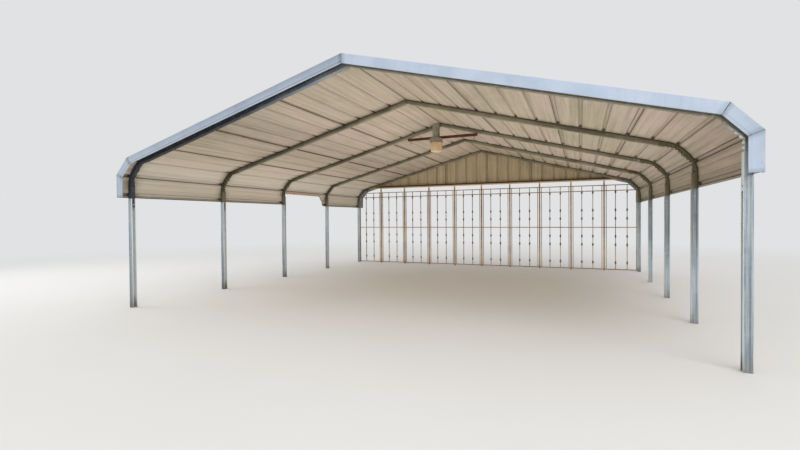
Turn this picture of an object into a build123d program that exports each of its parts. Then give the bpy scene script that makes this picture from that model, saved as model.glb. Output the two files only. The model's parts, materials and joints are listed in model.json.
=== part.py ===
"""Carport of roll-formed channel, open in front and at the sides, with a ribbed sheet
roof bent over its eaves, a sheeted rear gable and an iron screen below it.

Millimetres. X runs across the bay, Y from the front to the rear, Z up. The origin
lies on the ground in the middle of the plan.
"""
from build123d import *
import itertools
import math
import os

# Frame
frame_width = 6096.0        # over the outer faces of the posts
bow_spacing = 1448.0        # from bow to bow along the bay
bow_count = 5
roof_overhang = 152.0       # roof sheet past the middle of the end bows
roof_pitch = 14.8           # degrees
knee_height = 1585.0        # lower bend of the bow, on its outer face
knee_run = 170.0            # across, from the lower bend to the upper one
knee_rise = 183.0           # up, from the lower bend to the upper one
bend_radius = 300.0         # of the outer face at both bends
bend_crimps = 2             # mitres that make up each bend
post_drop = 268.0           # from the lower bend down to the top of the post
nest_length = 100.0         # of the bow inside the post
eave_drop = 260.0           # from the lower bend down to the edge of the eave sheet

# Channel of the posts, open to the bay, which the ends of the bows slip into
post_width = 57.0
post_depth = 57.0
post_gauge = 1.9
post_lip = 12.0
bead_place = 19.0           # groove along each flange, from the web's outer face
bead_half = 6.5
bead_depth = 2.6
nest_clearance = 0.4

# Channel of the bows, open to the sheets
bow_gauge = 1.9
bow_lip = 12.0

# Ribbed sheet
sheet_gauge = 0.8
rib_pitch = 228.6
rib_height = 19.0
rib_base = 38.0
rib_top = 19.0
minor_count = 2             # low ribs between two ribs
minor_height = 3.0
minor_base = 16.0
lap_clearance = 0.3
eave_edge = 10.0            # least flat sheet below the last rib
strip_cover = 228.6         # from lap to lap, of the strip along the eave
eave_cover = 685.8          # of the sheet above it
upper_sheets = 3            # from the ridge to that sheet
gable_cover = 4             # ribs from lap to lap in the gable
ridge_gap = 2.5             # from the ridge to the top edge of the first sheet
cap_leg = 115.0             # each leg of the ridge cap
cap_gauge = 0.9

# Part of the left eave strip that is missing
tear_bay = 3                # counted from the front
tear_edge = 62.0            # upper edge of the gap, below the lower bend
tear_start = 8.0            # behind the middle of the bow in front of it
tear_tab = 118.0            # left of the lower edge before the next bow
tear_slant = 150.0          # lean of the torn side

# Trim at the front and rear edges of the roof
trim_gauge = 0.9
trim_face = 86.0
trim_leg = 55.0             # on top of the ribs
trim_hem = 12.0

# Gable wall and its header
header_rise = 235.0         # top of the header above the lower bend
header_height = 50.8
header_width = 38.0
header_wall = 2.0
gable_lap = 42.0            # of the gable sheets over the header
gable_clearance = 1.5

# Screen below the header
bay_count = 10
upright_size = 25.4
bar_size = 12.7
rail_height = 16.0
bottom_rail = 26.0          # middles of the rails above the ground
middle_rail = 847.0
top_rail_drop = 97.0        # from the header down to the middle of the top rail
upper_rail_drop = 106.0     # from the top rail down to the next one
stile_inset = 38.0          # from the middle of the upright to the middle of the stile
screen_clearance = 0.3

# Light under the middle bow
light_offset = -67.0        # middle of the light, across from the ridge
crosspiece_size = 38.0
crosspiece_half = 560.0
hanger_bolt = 10.0
hanger_head = 7.0
hanger_nut = 9.0
hanger_flats = 17.0         # across the flats of head and nut
hanger_inset = 50.0         # from the end of the crosspiece
hanger_drop = 50.0          # thread below the crosspiece
bolt_clearance = 0.4
board_size = 89.0           # square block of timber that carries the light
canopy_diameter = 206.0
canopy_height = 60.0
canopy_bevel = 7.0
lens_diameter = 193.0
lens_height = 150.0
lens_flange = 12.0          # upright rim at the top
lens_taper = 9.0            # of the radius, from the rim to the rounded foot
lens_round = 26.0
lens_wall = 3.0
lens_flats = 48             # ribs around it, each a flat

# Worked out from the values above
half_width = frame_width / 2
nest = post_gauge + nest_clearance
bow_width = post_width - 2 * nest
bow_depth = post_depth - 2 * nest
outer_face = half_width - nest
pitch = math.radians(roof_pitch)
knee_low = (outer_face, knee_height)
knee_high = (outer_face - knee_run, knee_height + knee_rise)
ridge = (0.0, knee_high[1] + knee_high[0] * math.tan(pitch))
post_top = knee_height - post_drop
bow_end = post_top - nest_length
sheet_bottom = knee_height - eave_drop
header_top = knee_height + header_rise
header_bottom = header_top - header_height
gable_bottom = header_top - gable_lap
top_rail = header_bottom - top_rail_drop
upper_rail = top_rail - upper_rail_drop
hanger_spot = crosspiece_half - hanger_inset
bow_places = [(i - (bow_count - 1) / 2) * bow_spacing for i in range(bow_count)]
roof_front = bow_places[0] - roof_overhang
roof_rear = bow_places[-1] + roof_overhang


def mirrored(shape):
    """The same shape on the other side of the bay."""
    return mirror(shape, about=Plane.YZ)


def to_rear(shape):
    """A front piece at the rear, the carport being the same end for end."""
    return mirror(shape, about=Plane.XZ)


def prism(points, y0, y1):
    """Solid with the outline points in X and Z, from y0 to y1."""
    face = make_face(Polyline(*[(x, y0, z) for x, z in points], close=True))
    return extrude(face, amount=y1 - y0, dir=(0, 1, 0))


def column(points, z0, z1):
    """Solid with the outline points in X and Y, from z0 to z1."""
    face = make_face(Polyline(*[(x, y, z0) for x, y in points], close=True))
    return extrude(face, amount=z1 - z0, dir=(0, 0, 1))


def slab(points, x0, x1):
    """Solid with the outline points in Y and Z, from x0 to x1."""
    face = make_face(Polyline(*[(x0, y, z) for y, z in points], close=True))
    return extrude(face, amount=x1 - x0, dir=(1, 0, 0))


def block(x, y, z):
    """Box between pairs of limits along the three axes."""
    centre = [(a + b) / 2 for a, b in (x, y, z)]
    size = [b - a for a, b in (x, y, z)]
    return Pos(*centre) * Box(*size)


def turned(points):
    """Solid of revolution about Z, with the outline points as radii and heights."""
    return revolve(make_face(Polyline(*[(r, 0, z) for r, z in points], close=True)), Axis.Z)


def middle(a, b):
    """Point halfway between two points."""
    return ((a[0] + b[0]) / 2, (a[1] + b[1]) / 2)


def offset_line(points, distance):
    """Open line moved to its left by a distance, with mitred corners."""
    normals = []
    for (x0, z0), (x1, z1) in zip(points, points[1:]):
        length = math.dist((x0, z0), (x1, z1))
        normals.append(((z0 - z1) / length, (x1 - x0) / length))
    moved = []
    for i, (x, z) in enumerate(points):
        before = normals[max(i - 1, 0)]
        after = normals[min(i, len(normals) - 1)]
        scale = distance / (1 + before[0] * after[0] + before[1] * after[1])
        moved.append((x + (before[0] + after[0]) * scale, z + (before[1] + after[1]) * scale))
    return moved


def band(points, inner, outer):
    """Outline between two offsets of an open line."""
    return offset_line(points, inner) + offset_line(points, outer)[::-1]


def crimped(start, corner, end):
    """Mitres of equal turn round an arc of the bend's radius, in place of the corner on the
    way from the start to the end."""
    way = math.atan2(corner[1] - start[1], corner[0] - start[0])
    turn = math.atan2(end[1] - corner[1], end[0] - corner[0]) - way
    back = bend_radius * math.tan(abs(turn) / 2)
    x = corner[0] - back * math.cos(way) + bend_radius * math.sin(way)
    z = corner[1] - back * math.sin(way) - bend_radius * math.cos(way)
    far = bend_radius / math.cos(turn / 2 / bend_crimps)
    angles = [way + turn * (i + 0.5) / bend_crimps for i in range(bend_crimps)]
    return [(x - far * math.sin(angle), z + far * math.cos(angle)) for angle in angles]


def slope_line():
    """Outer line of the right half of a bow, from the ridge to the ground."""
    foot = (outer_face, 0.0)
    return [ridge] + crimped(ridge, knee_high, knee_low) + crimped(knee_high, knee_low, foot) + [foot]


def crimp_places():
    """Girths from the ridge to the mitres of the knee."""
    line = slope_line()
    return list(itertools.accumulate(math.dist(a, b) for a, b in zip(line, line[1:])))[:-1]


def girth_end():
    """Girth from the ridge to the edge of the eave sheet."""
    return crimp_places()[-1] + slope_line()[-2][1] - sheet_bottom


def both_sides(right):
    """The line of the right half with its mirror image before it."""
    return [(-x, z) for x, z in right[:0:-1]] + right


def bow_line(lowest):
    """Outer line of a bow from the left leg over the ridge to the right leg."""
    return both_sides(slope_line()[:-1] + [(outer_face, lowest)])


def under_roof(depth):
    """Outline of the space that lies a depth below the outer line of the bows."""
    return offset_line(bow_line(0.0), -depth)


def bow_height(x, depth=0.0):
    """Height of the rafter at x, at a depth below its outer line."""
    return ridge[1] - abs(x) * math.tan(pitch) - depth / math.cos(pitch)


def post_line():
    """Outer faces of a post's section, as distances from its web and from its middle."""
    half = post_width / 2
    upper = [
        (post_depth, half - post_lip),
        (post_depth, half),
        (bead_place + bead_half, half),
        (bead_place, half - bead_depth),
        (bead_place - bead_half, half),
        (0.0, half),
    ]
    return upper + [(u, -v) for u, v in upper[::-1]]


def bow_section():
    """Section of a bow, which fits inside the post with its own open side to the web."""
    envelope = offset_line(post_line(), nest)
    flange = envelope[5:0:-1]
    lip_end = (flange[0][0], flange[0][1] - bow_lip)
    upper = [lip_end] + flange
    line = upper + [(u, -v) for u, v in upper[::-1]]
    return band(line, -bow_gauge, 0)


def make_post(y):
    """Left post: lipped channel with a groove along each flange and its open side to the bay."""
    outline = [(u - half_width, y + v) for u, v in band(post_line(), 0, post_gauge)]
    return column(outline, 0.0, post_top)


def make_bow(y):
    """The bow's section swept along the crimped line, mitred at each crimp."""
    section = [(u - half_width, y + v, bow_end) for u, v in bow_section()]
    path = Polyline(*[(x, y, z) for x, z in bow_line(bow_end)])
    return sweep(make_face(Polyline(*section, close=True)), path=path, transition=Transition.RIGHT)


def rib(place, grow=0.0):
    """Four corners of a rib as places along the sheet and heights, grown outwards for a lap."""
    flank = (rib_base - rib_top) / 2
    stretch = math.hypot(flank, rib_height) / rib_height
    base = rib_base / 2 + stretch * grow
    height = rib_height + grow
    top = base - flank * height / rib_height
    return [(place - base, 0.0), (place - top, height), (place + top, height), (place + base, 0.0)]


def minor_ribs(place):
    """Corners of the low ribs between the rib at a place and the one before it."""
    corners = []
    for step in range(minor_count, 0, -1):
        peak = place - step * rib_pitch / (minor_count + 1)
        corners += [(peak - minor_base / 2, 0.0), (peak, minor_height), (peak + minor_base / 2, 0.0)]
    return corners


def sheet_line(start, end, ribs, lies_under, lies_over):
    """Inner face of a sheet as places and heights above the frame. At a lap two sheets share
    a rib, and the upper of them has it grown to fit over the lower."""
    line = [(start, 0.0)]
    for place in ribs:
        over = lies_over and place == ribs[-1]
        if place != ribs[0]:
            line += minor_ribs(place)
        line += rib(place, sheet_gauge + lap_clearance if over else 0.0)
    line.append((end, 0.0))
    if lies_under:
        line[:2] = [middle(line[1], line[2])]
    if lies_over:
        line[-2:] = [middle(line[-3], line[-2])]
    return line


def with_bends(line):
    """Adds the mitres of the knee to the line of a sheet that crosses them."""
    full = [line[0]]
    for a, b in zip(line, line[1:]):
        for place in crimp_places():
            if a[0] < place < b[0]:
                full.append((place, a[1] + (b[1] - a[1]) * (place - a[0]) / (b[0] - a[0])))
        full.append(b)
    return full


def on_roof(place, height):
    """Point of the right slope at a place down from the ridge and a height above the bow."""
    reach = 0.0
    line = slope_line()
    corners = offset_line(line, height)
    for i, ((x0, z0), (x1, z1)) in enumerate(zip(line, line[1:])):
        length = math.dist((x0, z0), (x1, z1))
        if place == reach:
            return corners[i]
        if place < reach + length:
            share = (place - reach) / length
            side, up = (z0 - z1) / length * height, (x1 - x0) / length * height
            return (x0 + (x1 - x0) * share + side, z0 + (z1 - z0) * share + up)
        reach += length
    return corners[-1]


def roof_laps():
    """Ribs at which the sheets lap, with the first and the last rib, counted from the ridge.
    The upper sheets share evenly what the two lowest ones leave."""
    last = math.floor((girth_end() - rib_base / 2 - eave_edge) / rib_pitch)
    strip = last - round(strip_cover / rib_pitch)
    lower = strip - round(eave_cover / rib_pitch)
    shares = [1 + round(i * (lower - 1) / upper_sheets) for i in range(upper_sheets)]
    return shares + [lower, strip, last]


def make_roof_sheets():
    """The sheets of the right slope, from the ridge to the eave."""
    laps = roof_laps()
    sheets = []
    for first, last in zip(laps, laps[1:]):
        top = first == laps[0]
        low = last == laps[-1]
        ribs = [n * rib_pitch for n in range(first, last + 1)]
        line = with_bends(sheet_line(ridge_gap, girth_end(), ribs, not top, not low))
        inner = [on_roof(*point) for point in line]
        sheets.append(prism(band(inner, 0, sheet_gauge), roof_front, roof_rear))
    return sheets


def make_tear():
    """What is missing from the left eave strip, with a torn side towards the rear."""
    front = bow_places[tear_bay - 1] + tear_start
    rear = bow_places[tear_bay] - tear_tab
    top = knee_height - tear_edge
    low = sheet_bottom - rib_height
    side = [(rear, low), (rear - tear_slant / 3, (top + sheet_bottom) / 2), (rear - tear_slant, top)]
    return slab([(front, low)] + side + [(front, top)], -half_width - 2 * rib_height, -half_width + rib_height)


def make_ridge_cap():
    """Folded strip over the joint of the two slopes."""
    leg = on_roof(cap_leg, 0.0)
    line = [(-leg[0], leg[1]), ridge, leg]
    return prism(band(line, sheet_gauge, sheet_gauge + cap_gauge), roof_front, roof_rear)


def make_trim(first, last):
    """Part of the right front trim between two corners of the roof's line: a face over the
    ends of the sheets, a leg on top of their ribs and a hem at its lower edge. It is flat
    between the corners of the knee."""
    under = rib_height + 2 * sheet_gauge + lap_clearance
    top = under + trim_gauge
    low = top - trim_face
    corners = both_sides([ridge, knee_high, knee_low, (outer_face, sheet_bottom)])
    at = len(corners) // 2
    runs = (
        (low, top, roof_front - trim_gauge, roof_front),
        (under, top, roof_front, roof_front + trim_leg),
        (low, low + trim_gauge, roof_front, roof_front + trim_hem),
    )
    pieces = []
    for inner, outer, y0, y1 in runs:
        near = offset_line(corners, inner)[at + first:at + last + 1]
        far = offset_line(corners, outer)[at + first:at + last + 1]
        pieces.append(prism(near + far[::-1], y0, y1))
    return pieces[0] + pieces[1] + pieces[2]


def make_gable():
    """Upright ribbed sheets on the rear of the last bow, cut to the line of the roof."""
    back = bow_places[-1] + bow_width / 2 + lap_clearance
    reach = (bow_height(0.0) - gable_bottom - gable_clearance) / math.tan(pitch)
    top = bow_height(0.0) - gable_clearance
    triangle = prism([(-reach, gable_bottom), (reach, gable_bottom), (0.0, top)], back, back + 2 * rib_height)
    most = math.floor((reach - rib_base / 2) / rib_pitch - 0.5)
    laps = [n for n in range(-most - 1, most + 1) if n % gable_cover == 0 and -most - 1 < n < most]
    ends = [-most - 1] + laps + [most]
    sheets = []
    for first, last in zip(ends, ends[1:]):
        ribs = [(n + 0.5) * rib_pitch for n in range(first, last + 1)]
        line = sheet_line(-reach, reach, ribs, first != ends[0], last != ends[-1])
        outline = band([(x, back + height) for x, height in line], 0, sheet_gauge)
        sheets.append(column(outline, gable_bottom, top) & triangle)
    return sheets


def make_header():
    """Rectangular tube between the rafters of the last bow, its ends cut to their slope."""
    y = bow_places[-1]
    half = header_width / 2
    outer = block((-half_width, half_width), (y - half, y + half), (header_bottom, header_top))
    inner = block(
        (-half_width, half_width),
        (y - half + header_wall, y + half - header_wall),
        (header_bottom + header_wall, header_top - header_wall),
    )
    space = prism(under_roof(bow_depth + screen_clearance), y - header_width, y + header_width)
    return (outer - inner) & space


def bay_width():
    """Width of one bay of the screen."""
    return (frame_width - post_depth) / bay_count


def upright_places():
    """Middles of the uprights of the screen."""
    return [(i - bay_count / 2) * bay_width() for i in range(1, bay_count)]


def make_uprights():
    """Square bars from the ground to the header."""
    y = bow_places[-1]
    half = upright_size / 2
    return [block((x - half, x + half), (y - half, y + half), (0, header_bottom)) for x in upright_places()]


def make_panel(index):
    """Screen panel of one bay: four rails, two stiles and two pickets, fused where they cross."""
    y = bow_places[-1]
    start = (index - bay_count / 2) * bay_width()
    end = start + bay_width()
    gap = upright_size / 2 + screen_clearance
    jamb = half_width - post_depth - screen_clearance
    left = max(start + gap, -jamb)
    right = min(end - gap, jamb)
    stiles = [max(start + stile_inset, left + bar_size), min(end - stile_inset, right - bar_size)]
    pickets = [start + bay_width() / 3, end - bay_width() / 3]
    half_bar = bar_size / 2
    half_rail = rail_height / 2
    depth = (y - half_bar, y + half_bar)
    shape = block((left, right), depth, (bottom_rail - half_rail, bottom_rail + half_rail))
    for z in (middle_rail, upper_rail, top_rail):
        shape += block((left, right), depth, (z - half_rail, z + half_rail))
    for x in stiles + pickets:
        shape += block((x - half_bar, x + half_bar), depth, (bottom_rail, top_rail))
    return shape & prism(under_roof(bow_depth + screen_clearance), y - bar_size, y + bar_size)


def light_level():
    """Underside of the crosspiece, whose upper corners meet the rafters."""
    return bow_height(crosspiece_half, bow_depth) - crosspiece_size


def hanger_holes():
    """Rods that cut the holes of the two hangers."""
    low = light_level() - hanger_drop
    high = bow_height(hanger_spot)
    radius = hanger_bolt / 2 + bolt_clearance
    rod = Pos(hanger_spot, 0, (low + high) / 2) * Cylinder(radius, high - low)
    return [rod, mirrored(rod)]


def make_crosspiece():
    """Timber between the two rafters of the middle bow, flush with its front."""
    front = -bow_width / 2
    low = light_level()
    bar = block(
        (-crosspiece_half, crosspiece_half),
        (front, front + crosspiece_size),
        (low, low + crosspiece_size),
    )
    for rod in hanger_holes():
        bar -= rod
    return bar


def make_hanger():
    """Right hanger: a rod through the bow and the crosspiece, with a head and a nut."""
    low = light_level() - hanger_drop
    radius = hanger_flats / math.sqrt(3)
    seat = bow_height(hanger_spot - radius, bow_depth - bow_gauge)
    rod = Pos(hanger_spot, 0, (low + seat) / 2) * Cylinder(hanger_bolt / 2, seat - low)
    head = Pos(hanger_spot, 0, seat) * extrude(RegularPolygon(radius, 6), hanger_head)
    nut = Pos(hanger_spot, 0, light_level() - hanger_nut) * extrude(RegularPolygon(radius, 6), hanger_nut)
    return rod + head + nut


def make_board():
    """Block of timber on the front of the middle bow and of the crosspiece, cut to the roof."""
    back = -bow_width / 2
    front = back - board_size
    sides = (light_offset - board_size / 2, light_offset + board_size / 2)
    timber = block(sides, (front, back), (light_level(), ridge[1]))
    return timber & prism(under_roof(bow_gauge), front, back)


def on_light(shape, drop):
    """A turned piece of the light, a drop below the block that carries it."""
    return Pos(light_offset, -(bow_width + board_size) / 2, light_level() - drop) * shape


def make_canopy():
    """Round canopy under the block and the crosspiece, with a bevelled shoulder."""
    rim = canopy_diameter / 2
    outline = [
        (0, 0),
        (rim - canopy_bevel, 0),
        (rim, -canopy_bevel),
        (rim, -canopy_height),
        (0, -canopy_height),
    ]
    return on_light(turned(outline), 0.0)


def faceted(line):
    """Solid with a flat for each rib of the lens, through rings of the radii and heights."""
    rings = [Pos(0, 0, z) * RegularPolygon(radius, lens_flats) for radius, z in line]
    return loft(rings, ruled=True)


def make_lens():
    """Cup of ribbed plastic below the canopy, with a tapered side and a rounded foot."""
    rim = lens_diameter / 2
    side = rim - lens_taper
    low = lens_round - lens_height
    outer = [(rim, 0.0), (rim, -lens_flange)]
    for angle in (0, 30, 60, 90):
        turn = math.radians(angle)
        outer.append((side - lens_round * (1 - math.cos(turn)), low - lens_round * math.sin(turn)))
    return on_light(faceted(outer) - faceted(offset_line(outer, -lens_wall)), canopy_height)


def write(name, *shapes):
    """Writes the solids of one node to its file."""
    solids = [solid for shape in shapes for solid in shape.solids()]
    shape = solids[0] if len(solids) == 1 else Compound(children=solids)
    export_step(shape, f"parts/{name}.step")


def write_pair(name, shape):
    """Writes a right-hand piece and its mirror image on the left."""
    write(name.format("right"), shape)
    write(name.format("left"), mirrored(shape))


def main():
    """Builds every piece and writes it."""
    os.makedirs("parts", exist_ok=True)
    for number, y in enumerate(bow_places, 1):
        write_pair(f"post_{{}}_{number}", mirrored(make_post(y)))
        bow = make_bow(y)
        if number == (bow_count + 1) // 2:
            for rod in hanger_holes():
                bow -= rod
        write(f"bow_{number}", bow)
    sheets = make_roof_sheets()
    for number, sheet in enumerate(sheets, 1):
        write(f"roof_sheet_right_{number}", sheet)
        left = mirrored(sheet)
        write(f"roof_sheet_left_{number}", left - make_tear() if number == len(sheets) else left)
    write("ridge_cap", make_ridge_cap())
    rake = make_trim(0, 1)
    eave = make_trim(1, 3)
    write_pair("front_rake_trim_{}", rake)
    write_pair("front_eave_trim_{}", eave)
    write_pair("rear_rake_trim_{}", to_rear(rake))
    write_pair("rear_eave_trim_{}", to_rear(eave))
    write("gable_sheets", *make_gable())
    write("gable_header", make_header())
    write("screen_uprights", *make_uprights())
    for index in range(bay_count):
        write(f"screen_panel_{index + 1}", make_panel(index))
    write("light_crosspiece", make_crosspiece())
    write("light_hangers", make_hanger(), mirrored(make_hanger()))
    write("light_board", make_board())
    write("light_housing", make_canopy())
    write("light_lens", make_lens())


main()
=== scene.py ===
"""Finishes and fine forms of the carport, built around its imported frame.

Metres, with X across the bay, Y from the open front to the screen and Z up. Sizes that
belong to the frame repeat those of the part's source.
"""
import json
import logging
import math
from dataclasses import dataclass, field
from enum import Enum
from functools import cached_property
from typing import Any, Sequence

import bmesh
import bpy
import numpy as np
from mathutils import Matrix, Vector

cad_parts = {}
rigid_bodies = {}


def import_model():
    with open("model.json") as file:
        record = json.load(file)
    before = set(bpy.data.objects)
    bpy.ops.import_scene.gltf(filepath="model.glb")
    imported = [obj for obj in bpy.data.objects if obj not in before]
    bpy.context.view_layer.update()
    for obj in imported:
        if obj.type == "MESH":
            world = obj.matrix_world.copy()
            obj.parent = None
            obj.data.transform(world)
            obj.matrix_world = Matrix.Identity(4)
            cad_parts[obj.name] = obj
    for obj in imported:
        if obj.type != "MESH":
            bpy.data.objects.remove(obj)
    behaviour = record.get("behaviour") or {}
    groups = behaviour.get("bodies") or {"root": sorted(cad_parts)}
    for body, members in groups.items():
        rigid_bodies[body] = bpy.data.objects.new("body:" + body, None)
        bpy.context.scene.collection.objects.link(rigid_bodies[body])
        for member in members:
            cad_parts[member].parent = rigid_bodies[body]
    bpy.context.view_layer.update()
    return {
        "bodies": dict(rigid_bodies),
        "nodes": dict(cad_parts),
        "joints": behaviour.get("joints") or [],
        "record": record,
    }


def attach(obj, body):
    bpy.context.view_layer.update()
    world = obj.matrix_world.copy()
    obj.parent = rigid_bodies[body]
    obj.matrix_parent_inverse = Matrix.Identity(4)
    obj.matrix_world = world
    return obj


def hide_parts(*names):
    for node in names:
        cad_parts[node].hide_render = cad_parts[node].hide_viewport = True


Array = np.ndarray
Marks = dict[str, Array]
Rgb = tuple[float, float, float]

log = logging.getLogger("carport")
BODY = "root"
PITCH = math.radians(14.8)
HALF_WIDTH = 3.048          # over the outer faces of the posts
NEST = 0.0023               # from the post's outer faces to the bow's
CHANNEL = 0.057             # side of the posts' section
BOW_SIZE = CHANNEL - 2 * NEST
GAUGE = 0.0019              # thickness of the channel
BOWS = np.arange(-2, 3) * 1.448             # places along the bay
ROOF_END = BOWS[-1] + 0.152
POST_TOP = 1.317
EAVE = 1.325                # lower edge of the eave strip
RIB_PITCH = 0.2286
RIB_HEIGHT = 0.019
SHEET = 0.0008              # thickness of the sheets
LAP = 0.0003                # clearance between lapped sheets
SCREW_ASIDE = 0.034         # from the middle of a rib to the screws beside it


def srgb(red: float, green: float, blue: float) -> tuple[float, float, float, float]:
    """Linear colour with alpha from screen values of 0 to 255.

    Args:
        red: From 0 to 255.
        green: The same.
        blue: The same.

    Returns:
        The linear values and an alpha of 1.
    """
    part = np.array([red, green, blue]) / 255.0
    linear = np.where(part <= 0.04045, part / 12.92, ((part + 0.055) / 1.055) ** 2.4)
    return (*linear.tolist(), 1.0)


# Lines and surfaces


def unit(vectors: Array) -> Array:
    """Vectors of length 1 that point the same way."""
    return vectors / np.linalg.norm(vectors, axis=-1, keepdims=True)


def offset_line(line: Array, distance: float) -> Array:
    """Moves an open line to its left, with mitred corners.

    Each corner moves by distance * (m + n) / (1 + m . n), with m and n the unit normals
    of the two runs that meet there.

    Args:
        line: Corners, one row of two values each.
        distance: How far to the left, or to the right when negative.

    Returns:
        The moved corners.
    """
    run = unit(np.diff(line, axis=0))
    normal = np.stack([-run[:, 1], run[:, 0]], axis=1)
    before = np.vstack([normal[:1], normal])
    after = np.vstack([normal, normal[-1:]])
    scale = distance / (1.0 + np.sum(before * after, axis=1))
    return line + (before + after) * scale[:, None]


def rounded(line: Array, reach: float, steps: int = 3) -> Array:
    """Replaces each inner corner of an open line by a parabola.

    Between the points a and b, a reach before and behind the corner c, the curve is
    (1 - s)^2 a + 2 s (1 - s) c + s^2 b, and the reach is at most 0.45 of either run.

    Args:
        line: Corners, one row of two values each.
        reach: Distance from the corner to both ends of the curve.
        steps: Runs in each curve.

    Returns:
        The rounded line.
    """
    run = np.diff(line, axis=0)
    length = np.linalg.norm(run, axis=1)
    way = run / length[:, None]
    near = np.minimum(reach, 0.45 * np.minimum(length[:-1], length[1:]))[:, None]
    start = (line[1:-1] - way[:-1] * near)[:, None]
    end = (line[1:-1] + way[1:] * near)[:, None]
    s = np.linspace(0.0, 1.0, steps + 1)[None, :, None]
    curve = (1 - s) ** 2 * start + 2 * s * (1 - s) * line[1:-1, None] + s**2 * end
    return np.vstack([line[:1], curve.reshape(-1, 2), line[-1:]])


def smooth(value: Array, low: float, high: float) -> Array:
    """Rises from 0 at low to 1 at high as 3 t^2 - 2 t^3."""
    t = np.clip((value - low) / (high - low), 0.0, 1.0)
    return t * t * (3.0 - 2.0 * t)


def bump(value: Array, centre: float, width: float) -> Array:
    """Bell of height 1 at the centre, exp(-((value - centre) / width)^2)."""
    return np.exp(-(((value - centre) / width) ** 2))


def spans(*marks: float, most: float) -> Array:
    """Stations from mark to mark, with equal steps of at most one length in each span.

    Args:
        marks: Places to pass through, in order.
        most: Longest step.

    Returns:
        The stations.
    """
    runs = [
        np.linspace(a, b, max(2, int(math.ceil((b - a) / most)) + 1))[:-1]
        for a, b in zip(marks, marks[1:])
    ]
    return np.concatenate(runs + [np.array([marks[-1]])])


@dataclass
class Patch:
    """Points, faces and what the finishes read at each point.

    Attributes:
        points: One row for each point.
        faces: Blocks of faces with the same number of corners.
        uv: Metres along and across the piece at each point.
        marks: Named values of 0 to 1 at each point.
    """

    points: Array
    faces: list[Array]
    uv: Array
    marks: Marks = field(default_factory=dict)

    def moved(self, turn: Array, shift: Sequence[float] = (0.0, 0.0, 0.0)) -> "Patch":
        """The patch turned by a matrix of three rows and then shifted."""
        return Patch(self.points @ turn.T + np.asarray(shift), self.faces, self.uv, self.marks)

    def flipped(self) -> "Patch":
        """The patch on the other side of the bay."""
        return self.moved(np.diag([-1.0, 1.0, 1.0]))


def joined(patches: Sequence[Patch]) -> Patch:
    """One patch of several, each mark 0 where a patch has none.

    Args:
        patches: Any number of patches.

    Returns:
        Their points, faces and marks.
    """
    starts = np.cumsum([0] + [len(patch.points) for patch in patches])
    names = sorted({name for patch in patches for name in patch.marks})
    blank = [np.zeros(len(patch.points)) for patch in patches]
    return Patch(
        np.vstack([patch.points for patch in patches]),
        [block + start for patch, start in zip(patches, starts) for block in patch.faces],
        np.vstack([patch.uv for patch in patches]),
        {
            name: np.concatenate([patch.marks.get(name, none) for patch, none in zip(patches, blank)])
            for name in names
        },
    )


def grid_faces(rows: int, columns: int, wrap: bool = False) -> Array:
    """Faces of a grid whose points are numbered row by row.

    Args:
        rows: Points along the first parameter.
        columns: Points along the second.
        wrap: Whether the last column meets the first.

    Returns:
        One row of four point numbers for each face.
    """
    row, column = np.meshgrid(np.arange(rows - 1), np.arange(columns if wrap else columns - 1), indexing="ij")
    here, below = row * columns, (row + 1) * columns
    following = (column + 1) % columns
    corners = [here + column, here + following, below + following, below + column]
    return np.stack(corners, -1).reshape(-1, 4)


def carried(line: Array, y: Array) -> Array:
    """Line of X and Z carried along the bay: a point is (x, y, z) at each station.

    Args:
        line: X and Z of each point, for all the stations or a row for each.
        y: Stations.

    Returns:
        Grid of points, stations by points by three.
    """
    return np.stack(np.broadcast_arrays(line[..., 0], y[:, None], line[..., 1]), -1)


def spread(marks: Marks | None, shape: tuple[int, int]) -> Marks:
    """Marks given for a grid, or for its rows or columns, as one value for each point."""
    return {name: np.broadcast_to(value, shape).ravel() for name, value in (marks or {}).items()}


def shell(inner: Array, outer: Array, uv: Array, marks: Marks | None = None) -> Patch:
    """Closed sheet between two grids of points, with a rim along all four edges.

    The mark "sky" is 0 on the inner grid and 1 on the outer one.

    Args:
        inner: Grid of points on one face, rows by columns by three.
        outer: The same points on the other face.
        uv: Grid of texture places, rows by columns by two.
        marks: Grids of further values.

    Returns:
        The sheet.
    """
    rows, columns = inner.shape[:2]
    count = rows * columns
    number = np.arange(count).reshape(rows, columns)
    edge = np.concatenate([number[0], number[1:, -1], number[-1, -2::-1], number[-2:0:-1, 0]])
    ahead = np.roll(edge, -1)
    face = grid_faces(rows, columns)
    rim = np.stack([edge, ahead, ahead + count, edge + count], axis=1)
    double = {name: np.tile(value, 2) for name, value in spread(marks, (rows, columns)).items()}
    double["sky"] = np.repeat([0.0, 1.0], count)
    return Patch(
        np.vstack([inner.reshape(-1, 3), outer.reshape(-1, 3)]),
        [face[:, ::-1], face + count, rim],
        np.tile(uv.reshape(-1, 2), (2, 1)),
        double,
    )


def tube(loops: Array, uv: Array, marks: Marks | None = None) -> Patch:
    """Skin through a row of closed loops, with a flat end on the first and the last.

    Args:
        loops: Grid of points, loops by points by three.
        uv: Grid of texture places, loops by points by two.
        marks: Grids of further values.

    Returns:
        The skin.
    """
    rows, columns = loops.shape[:2]
    last = (rows - 1) * columns
    ends = [np.arange(columns)[None, ::-1], np.arange(last, last + columns)[None]]
    faces = [grid_faces(rows, columns, wrap=True), *ends]
    return Patch(loops.reshape(-1, 3), faces, uv.reshape(-1, 2), spread(marks, (rows, columns)))


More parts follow.
